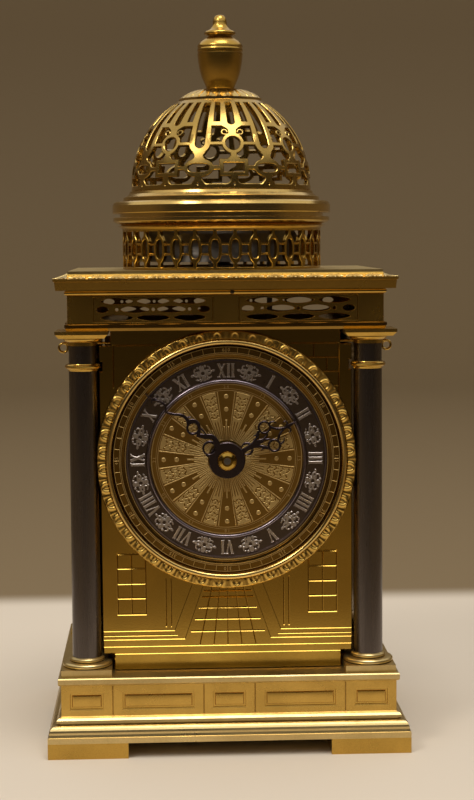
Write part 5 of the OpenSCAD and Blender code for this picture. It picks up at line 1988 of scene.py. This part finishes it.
@dataclass
class Dial:
    """The dial: bezel, minute track, silvered hours and the sun in the middle."""

    face_y: float = -40.7
    centre_z: float = 129.5
    foot_r: float = 56.2
    bezel_r: float = 57.4
    band_r: float = 53.45
    bead_r: float = 52.15
    band_top: float = 4.7
    eggs: int = 44
    minute_in: float = 44.5
    minute_out: float = 50.15
    minute_top: float = 3.9
    hour_in: float = 33.8
    hour_out: float = 44.4
    hour_top: float = 2.2
    hour_ground: float = 1.75
    numeral_r: float = 39.4
    sun_r: float = 30.5
    sun_top: float = 1.6
    rays_r: float = 8.4
    centre_r: float = 3.9

    def laid(self, plan: Maker) -> Maker:
        """Stands a maker in dial plan (x right, y up, z to the eye) upright."""
        turn = Matrix(((1, 0, 0), (0, 0, -1), (0, 1, 0))).to_4x4()
        return Maker().join(plan, Matrix.Translation((0, self.face_y, self.centre_z)) @ turn)

    def build(self, shop: Workshop) -> None:
        """Makes the dial's rings."""
        self.bezel(shop)
        self.minutes(shop)
        self.hours(shop)
        self.sun(shop)

    def bezel(self, shop: Workshop) -> None:
        """Makes the egg and leaf band and the bead inside it."""
        soft = 70
        egg = Maker().wedge(self.eggs, 30, self.band)
        band = self.laid(shop.ring(egg, self.eggs, 90 + 180 / self.eggs, CHASED))
        shop.deliver(
            band, "egg_and_leaf_bezel", CHASED, Slot.GILT, replaced=["dial_bezel"], sharp=soft
        )
        bead = arc(self.bead_r, 4.9, 1.15, -10, 180, 14)
        profile = [(50.25, 0), (53.4, 0), (53.4, 4.4), *bead, (50.9, 3.9), (50.25, 3.6)]
        rim = Maker().turned(profile, FINE)
        shop.deliver(self.laid(rim), "bezel_bead", BURNISHED_HIGHLIT, Slot.TRIM, sharp=soft)

    def band(self, u: float) -> Ring:
        """Gives the band's section across one egg and half of each dart.

        Args:
            u: place across the repeat, from -1 to 1.

        Returns:
            The section as radii and heights.
        """
        rows = 18
        ring = [(self.band_r, 0), (self.foot_r, 0)]
        for i in range(rows + 1):
            v = 1 - i / rows
            r = self.band_r + (self.bezel_r - self.band_r) * v
            fall = max(0.0, (v - 0.86) / 0.14)
            ring.append((r, self.band_top - 0.8 * fall**2 + self.egg(u, v)))
        return ring

    def egg(self, u: float, v: float) -> float:
        """Returns the height of the ornament above the sloping band.

        Args:
            u: place across one repeat, from -1 to 1, the leaf at 0.
            v: place across the band, 0 at the bead and 1 at the rim.

        Returns:
            The height in mm.
        """
        x = abs(u) * math.pi * self.bezel_r / self.eggs
        y = v * (self.bezel_r - self.band_r)
        gap = math.pi * self.bezel_r / self.eggs - x
        away = 2.0 * (math.sqrt((x / 2.1) ** 1.6 + (y / 3.15) ** 3.0) - 1)
        shell = 0.48 * math.exp(-((away / 0.5) ** 2))
        rib = 0.25 * math.exp(-((x / 0.42) ** 2)) * min(1.0, max(0.0, 2.4 - y))
        dart = 0.16 * math.exp(-((gap / 0.5) ** 2)) * min(1.0, y / 0.8)
        edge = min(1.0, (1 - v) / 0.1) * min(1.0, v / 0.05)
        return max(shell, rib, dart) * edge

    def minutes(self, shop: Workshop) -> None:
        """Makes the minute track with its sixty strokes and twelve numbers."""
        top = self.minute_top
        profile = [
            (self.minute_in, 0), (self.minute_out, 0), (self.minute_out, top), (47.1, top),
            (46.9, top + 0.22), (46.6, top + 0.22), (46.4, top - 0.1), (45.5, top - 0.3),
            (45.2, top - 0.9), (44.8, top - 0.95), (self.minute_in, top - 1.3),
        ]
        track = self.laid(Maker().turned(profile, FINE))
        shop.deliver(track, "minute_track", LACQUERED, Slot.GILT, Body.CASE, ["minute_ring"])
        marks = Maker()
        stick, proud = block(48.6, 0, 2.3, 0.2), 0.12
        tick = Maker().add(*Fret([stick], bevel=0.05).solid(level(top + proud), 0.22))
        marks.join(shop.ring(tick, 60, 90, FROSTED))
        for r in (47.35, 49.9):
            low, high = top - 0.1, top + proud
            marks.turned([(r - 0.1, low), (r + 0.1, low), (r + 0.1, high), (r - 0.1, high)], FINE)
        figures = Figures(2.1)
        for k in range(1, 13):
            text = str(5 * k)
            for c, x in zip(text, (-1.2, 1.2)):
                place = on_dial(30 * k, 48.65) @ Matrix.Translation((x, 0, 0))
                marks.add(*figures.raised(c, top + 0.14, 0.24), place)
        for r, z in ((46.75, top + 0.2), (44.85, top - 0.95)):
            low, high = z - 0.2, z + 0.16
            wire = [(r - 0.14, low), (r + 0.14, low), (r + 0.1, high), (r - 0.1, high)]
            marks.turned(wire, FINE)
        shop.deliver(self.laid(marks), "minute_marks", FROSTED, Slot.TRIM)

    def hours(self, shop: Workshop) -> None:
        """Makes the silvered ring, its matted ground and the raised hours."""
        top, low = self.hour_top, self.hour_ground
        rim = arc(self.hour_in + 0.85, top - 0.35, 0.85, 20, 180, 10)
        profile = [
            (self.hour_in, 0), (self.hour_out, 0), (self.hour_out, top), (43.6, top),
            (43.35, low - 0.2), (35.75, low - 0.2), *rim,
        ]
        ring = self.laid(Maker().turned(profile, FINE))
        shop.deliver(ring, "silvered_hour_ring", SILVERED, Slot.SILVERED, replaced=["chapter_ring"])
        under = low - 0.4
        ground = Maker().turned([(35.6, under), (43.45, under), (43.45, low), (35.6, low)], FINE)
        shop.deliver(self.laid(ground), "matted_hour_ground", HOUR_GROUND, Slot.SILVERED)
        raised = Maker()
        names = ("I", "II", "III", "IIII", "V", "VI", "VII", "VIII", "IX", "X", "XI", "XII")
        for k, name in enumerate(names, 1):
            letters = Fret(roman(name, 6.3), bevel=0.14)
            raised.add(*letters.solid(level(low + 0.55), 0.65), on_dial(30 * k, self.numeral_r))
        raised.join(shop.ring(self.lozenge(), 12, 75, HOUR_SILVER))
        shop.deliver(self.laid(raised), "raised_hours", HOUR_SILVER, Slot.SILVERED)

    def lozenge(self) -> Maker:
        """Makes the flower between two hours, in plan at the angle 0."""
        r = self.numeral_r + 0.1
        petals = [circle(r, 0, 1.75, 20)]
        petals += [rounded(r + t * 2.4, 0, 1.2, 1.15, 1.0, 16) for t in (1, -1)]
        for s in (-1, 1):
            petals.append(rounded(r, s * 2.6, 1.2, 1.5, 1.0, 16))
            for t in (-1, 1):
                curl = arc(r + t * 1.6, s * 2.6, 0.95, 0, t * s * 250, 10)
                petals.append(stroke(curl, 0.6))
            petals += [circle(r + t * 2.9, s * 1.7, 0.55, 10) for t in (-1, 1)]
            petals.append(rounded(r, s * 4.7, 0.55, 0.8, 1.0, 12))
        holes = [circle(r, 0, 0.85, 14), *[circle(r, s * 2.9, 0.3, 10, 2.0) for s in (-1, 1)]]
        fret = Fret(petals, holes, bevel=0.1)
        return Maker().add(*fret.solid(level(self.hour_ground + 0.45), 0.55))

    def leaf_sector(self) -> tuple[list[Ring], list[Ring]]:
        """Returns a pierced leaf ray and its openings, along +X."""
        start, neck, end = self.rays_r, 16.5, self.sun_r - 0.6
        near = [(start, -0.7), (neck, -1.75), (end, -3.1)]
        solids = [[*near, (end + 0.25, 0), *[(x, -y) for x, y in near[::-1]]]]
        holes = []
        for s in (-1, 1):
            slit = ((8.9, 0.18), (16.6, 0.4), (17.4, 0.62), (16.6, 0.82), (8.9, 0.34))
            holes.append([(x, s * y) for x, y in slit])
            for k, r in enumerate((19.0, 21.9, 24.8, 27.6)):
                petal = turned_by(rounded(0, 0, 0.85, 0.34, 1.2, 10), s * 52)
                holes.append(moved(petal, r, s * 0.036 * r))
                petal = turned_by(rounded(0, 0, 0.7, 0.3, 1.2, 10), -s * 40)
                holes.append(moved(petal, r + 0.5, s * (0.078 * r + 0.03 * k)))
            holes += [circle(r, s * 0.062 * r, 0.28, 8) for r in (20.5, 23.4, 26.3)]
        holes += [rounded(r, 0, 0.5, 0.26, 1.2, 10) for r in (20.3, 23.2, 26.1)]
        return solids, holes

    def sun(self, shop: Workshop) -> None:
        """Makes the middle: a sun of plain and pierced rays in a numbered band."""
        top, r, start, hole, out = self.sun_top, self.sun_r, self.rays_r, self.centre_r, 33.7
        disc = Maker().turned([(hole, 0), (out, 0), (out, top), (hole, top)], FINE)
        ground = self.laid(disc)
        shop.deliver(ground, "matted_sun_ground", MATTED, Slot.GILT, replaced=["centre_plate"])
        solids, holes = self.leaf_sector()
        rays = [turned_by(ring, 15) for ring in solids]
        for angle, end, wide in (
            (7.5, r - 0.4, 0.5), (22.5, r - 0.4, 0.5), (0, 17.5, 0.7),
            (3.75, 14.5, 0.5), (26.25, 14.5, 0.5),
        ):
            narrow, half = wide * 0.36, wide / 2
            ray = [(start, -narrow), (end, -half), (end, half), (start, narrow)]
            rays.append(turned_by(ray, angle))
        fret = Fret(rays, [turned_by(ring, 15) for ring in holes], bevel=0.1)
        unit = Maker().add(*fret.solid(level(top + 0.35), 0.45))
        for spot in (22.1, 27.9):
            stud = [(0, -0.1), (1.0, -0.1), (1.0, 0.12), (0.85, 0.25), (0, 0.3)]
            unit.turned(stud, 14, Matrix.Translation((spot, 0, top)))
        made = shop.ring(unit, 12, 90, FROSTED)
        for q, wide in ((r, 0.16), (r + 0.8, 0.1), (33.3, 0.22)):
            low, high, narrow = top - 0.1, top + 0.3, wide * 0.6
            wire = [(q - wide, low), (q + wide, low), (q + narrow, high), (q - narrow, high)]
            made.turned(wire, FINE)
        figures = Figures(2.0)
        for k in range(1, 13):
            for c, x in zip(str(12 + k), (-0.72, 0.72)):
                place = on_dial(30 * k, 32.15) @ Matrix.Translation((x, 0, 0))
                made.add(*figures.raised(c, top + 0.16, 0.26), place)
        shop.deliver(self.laid(made), "sun_rays", FROSTED, Slot.TRIM)


@dataclass
class Hands:
    """The two scrolled steel hands, drawn pointing along +X in dial plan."""

    boss_r: float = 8.0
    minute_angle: float = 310.0
    hour_angle: float = 61.4
    minute_top: float = 7.4
    hour_top: float = 5.6
    thick: float = 1.2

    def minute(self) -> tuple[list[Ring], list[Ring]]:
        """Returns the minute hand's metal and openings."""
        solids = [
            circle(0, 0, self.boss_r, 48),
            ribbon([
                (6.0, -1.2, 3.2), (8.6, -3.3, 2.3), (11.6, -3.9, 2.2),
                (14.6, -1.9, 2.2), (17.0, -0.6, 1.6),
            ]),
            ribbon([(6.4, 3.0, 1.0), (8.6, 3.6, 1.4), (10.6, 2.6, 1.0)]),
            ribbon([(16.4, 0.0, 1.8), (19.4, -4.1, 1.4), (22.4, -4.6, 1.2), (24.4, -2.6, 1.3)]),
            ribbon([(14.8, -3.2, 0.4), (17.6, -3.6, 0.9), (19.4, -2.9, 1.0)]),
            ribbon([
                (23.0, -1.4, 1.6), (25.6, -3.0, 1.5), (28.4, -2.7, 1.3),
                (31.2, -0.9, 1.1), (33.8, 0.3, 1.0),
            ]),
            ribbon([
                (33.9, 0.9, 0.7), (35.0, 0.0, 1.0), (36.8, -1.6, 1.1),
                (39.6, -1.3, 1.0), (42.6, 0.3, 0.9),
            ]),
            ribbon([(42.0, 0.0, 0.9), (44.4, 0.2, 0.7), (46.6, 0.0, 0.3)]),
            ribbon([
                (41.2, 1.8, 0.3), (42.2, 0.9, 0.7), (42.4, 0.0, 0.8),
                (42.0, -1.1, 0.7), (40.8, -1.9, 0.3),
            ]),
            ribbon([(24.2, -5.0, 0.3), (25.4, -3.9, 0.7), (26.0, -3.2, 0.6)]),
            circle(9.3, 0.6, 3.4, 28),
            circle(20.7, -1.6, 3.1, 28),
        ]
        rings = ((9.3, 0.8, 2.4), (20.7, -1.6, 2.1), (0, 0, 2.3))
        return solids, [circle(*ring, 24) for ring in rings]

    def hour(self) -> tuple[list[Ring], list[Ring]]:
        """Returns the hour hand's metal and openings."""
        stem = [(6.5, 0, 3.0), (10.0, 0, 2.0), (13.0, 0, 2.8), (16.5, 0, 2.2), (18.5, 0, 1.0)]
        solids = [circle(0, 0, self.boss_r, 48), ribbon(stem)]
        holes = [circle(0, 0, 2.6, 24)]
        for s in (-1, 1):
            side = [
                [(8.0, s * 1.8, 0.5), (10.2, s * 2.6, 1.0), (12.4, s * 1.4, 1.0)],
                [(13.0, s * 0.6, 1.2), (16.6, s * 2.4, 1.2), (18.4, s * 4.2, 1.1)],
                [(15.2, s * 3.6, 0.3), (16.6, s * 3.4, 0.8), (18.4, s * 4.4, 0.9)],
                [(23.6, s * 3.6, 1.1), (25.6, s * 1.6, 1.0), (28.0, s * 0.4, 0.9), (30.0, 0, 0.9)],
                [(24.2, s * 5.4, 0.8), (26.0, s * 4.9, 0.7), (27.0, s * 3.6, 0.3)],
                [(29.6, 0, 0.8), (31.2, s * 1.5, 0.8), (30.6, s * 2.6, 0.6), (29.6, s * 2.5, 0.3)],
                [(18.0, 0, 0.9), (20.6, s * 0.9, 0.8), (21.4, s * 2.0, 0.6)],
            ]
            solids += [ribbon(path) for path in side]
            solids.append(circle(21.4, s * 4.6, 3.0, 28))
            holes.append(circle(21.4, s * 4.6, 2.05, 24))
        solids.append(ribbon([(29.4, 0, 0.9), (31.8, 0, 1.5), (34.9, 0, 0.3)]))
        return solids, holes

    def build(self, shop: Workshop) -> None:
        """Makes both hands."""
        dial = Dial()
        plans = (
            (self.minute(), self.minute_angle, self.minute_top, "minute_hand", Body.MINUTE),
            (self.hour(), self.hour_angle, self.hour_top, "hour_hand", Body.HOUR),
        )
        for (solids, holes), angle, top, node, body in plans:
            hand = Maker().add(*Fret(solids, holes, bevel=0.2).solid(level(top), self.thick))
            plan = Maker().join(hand, Matrix.Rotation(math.radians(90 - angle), 4, "Z"))
            shop.deliver(dial.laid(plan), f"scrolled_{node}", HAND_STEEL, Slot.DARK, body, [node])


def dress_frame(shop: Workshop, frame: dict) -> None:
    """Gives every node of the frame its finish: gilding, where none is named.

    Args:
        shop: where the finishes are.
        frame: the loaded frame.
    """
    wearing = {
        # The worn finish's pale colour on these, the top plate's edge most of all, is partly a
        # painted highlight.
        WORN_HIGHLIT: ("base_moulding", "base_ledge", "column_bases", "top_plate"),
        BURNISHED_HIGHLIT: ("drum_cornice", "dome_ring"),
        # The architrave's darker lacquered colour is painted shade under the cornice.
        LACQUERED: ("architrave",),
        PLATE_GILT: ("front_plate", "back_plate", "left_door", "right_door", "hand_nut"),
        # The base floor is browned dark as painted shade under the base.
        BROWNED: ("column_shafts", "tie_rods", "tie_nuts", "bell_stand", "base_floor"),
        HAND_STEEL: ("minute_hand", "hour_hand"),
        SILVERED: ("chapter_ring",),
        BELL: ("bell",),
        FILED: (
            "centre_arbor", "cannon_pinion", "going_winder", "strike_winder", "fly", "hammer",
            "bell_nut",
        ),
        TRAIN: (
            "train_front_plate", "train_back_plate", "train_pillars", "verge_cocks",
            "crown_potence", "centre_wheel", "hour_wheel", "minute_wheel", "going_barrel",
            "third_wheel", "crown_wheel", "balance", "strike_barrel", "pin_wheel",
        ),
    }
    metals = {name: metal for metal, names in wearing.items() for name in names}
    for name, thing in frame["nodes"].items():
        material = shop.finishes.of(metals.get(name, GILT))
        if not thing.material_slots:
            thing.data.materials.append(material)
        for slot in thing.material_slots:
            slot.material = material


def main() -> None:
    """Builds the clock round the frame, its stage, lamps and camera."""
    logging.basicConfig(level=logging.INFO, format="%(name)s: %(message)s")
    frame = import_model()
    scene = bpy.context.scene
    scene.view_settings.view_transform = "Standard"
    Eye().build()
    Studio().build()
    shop = Workshop(Finishes(), Repeater())
    dress_frame(shop, frame)
    for kind in (Dome, Drum, Frieze, Cornice, Dado, FrontPlate, Walls, Dial, Hands):
        kind().build(shop)
    log.info("%d pieces made", len(shop.made))


if __name__ == "__main__":
    main()
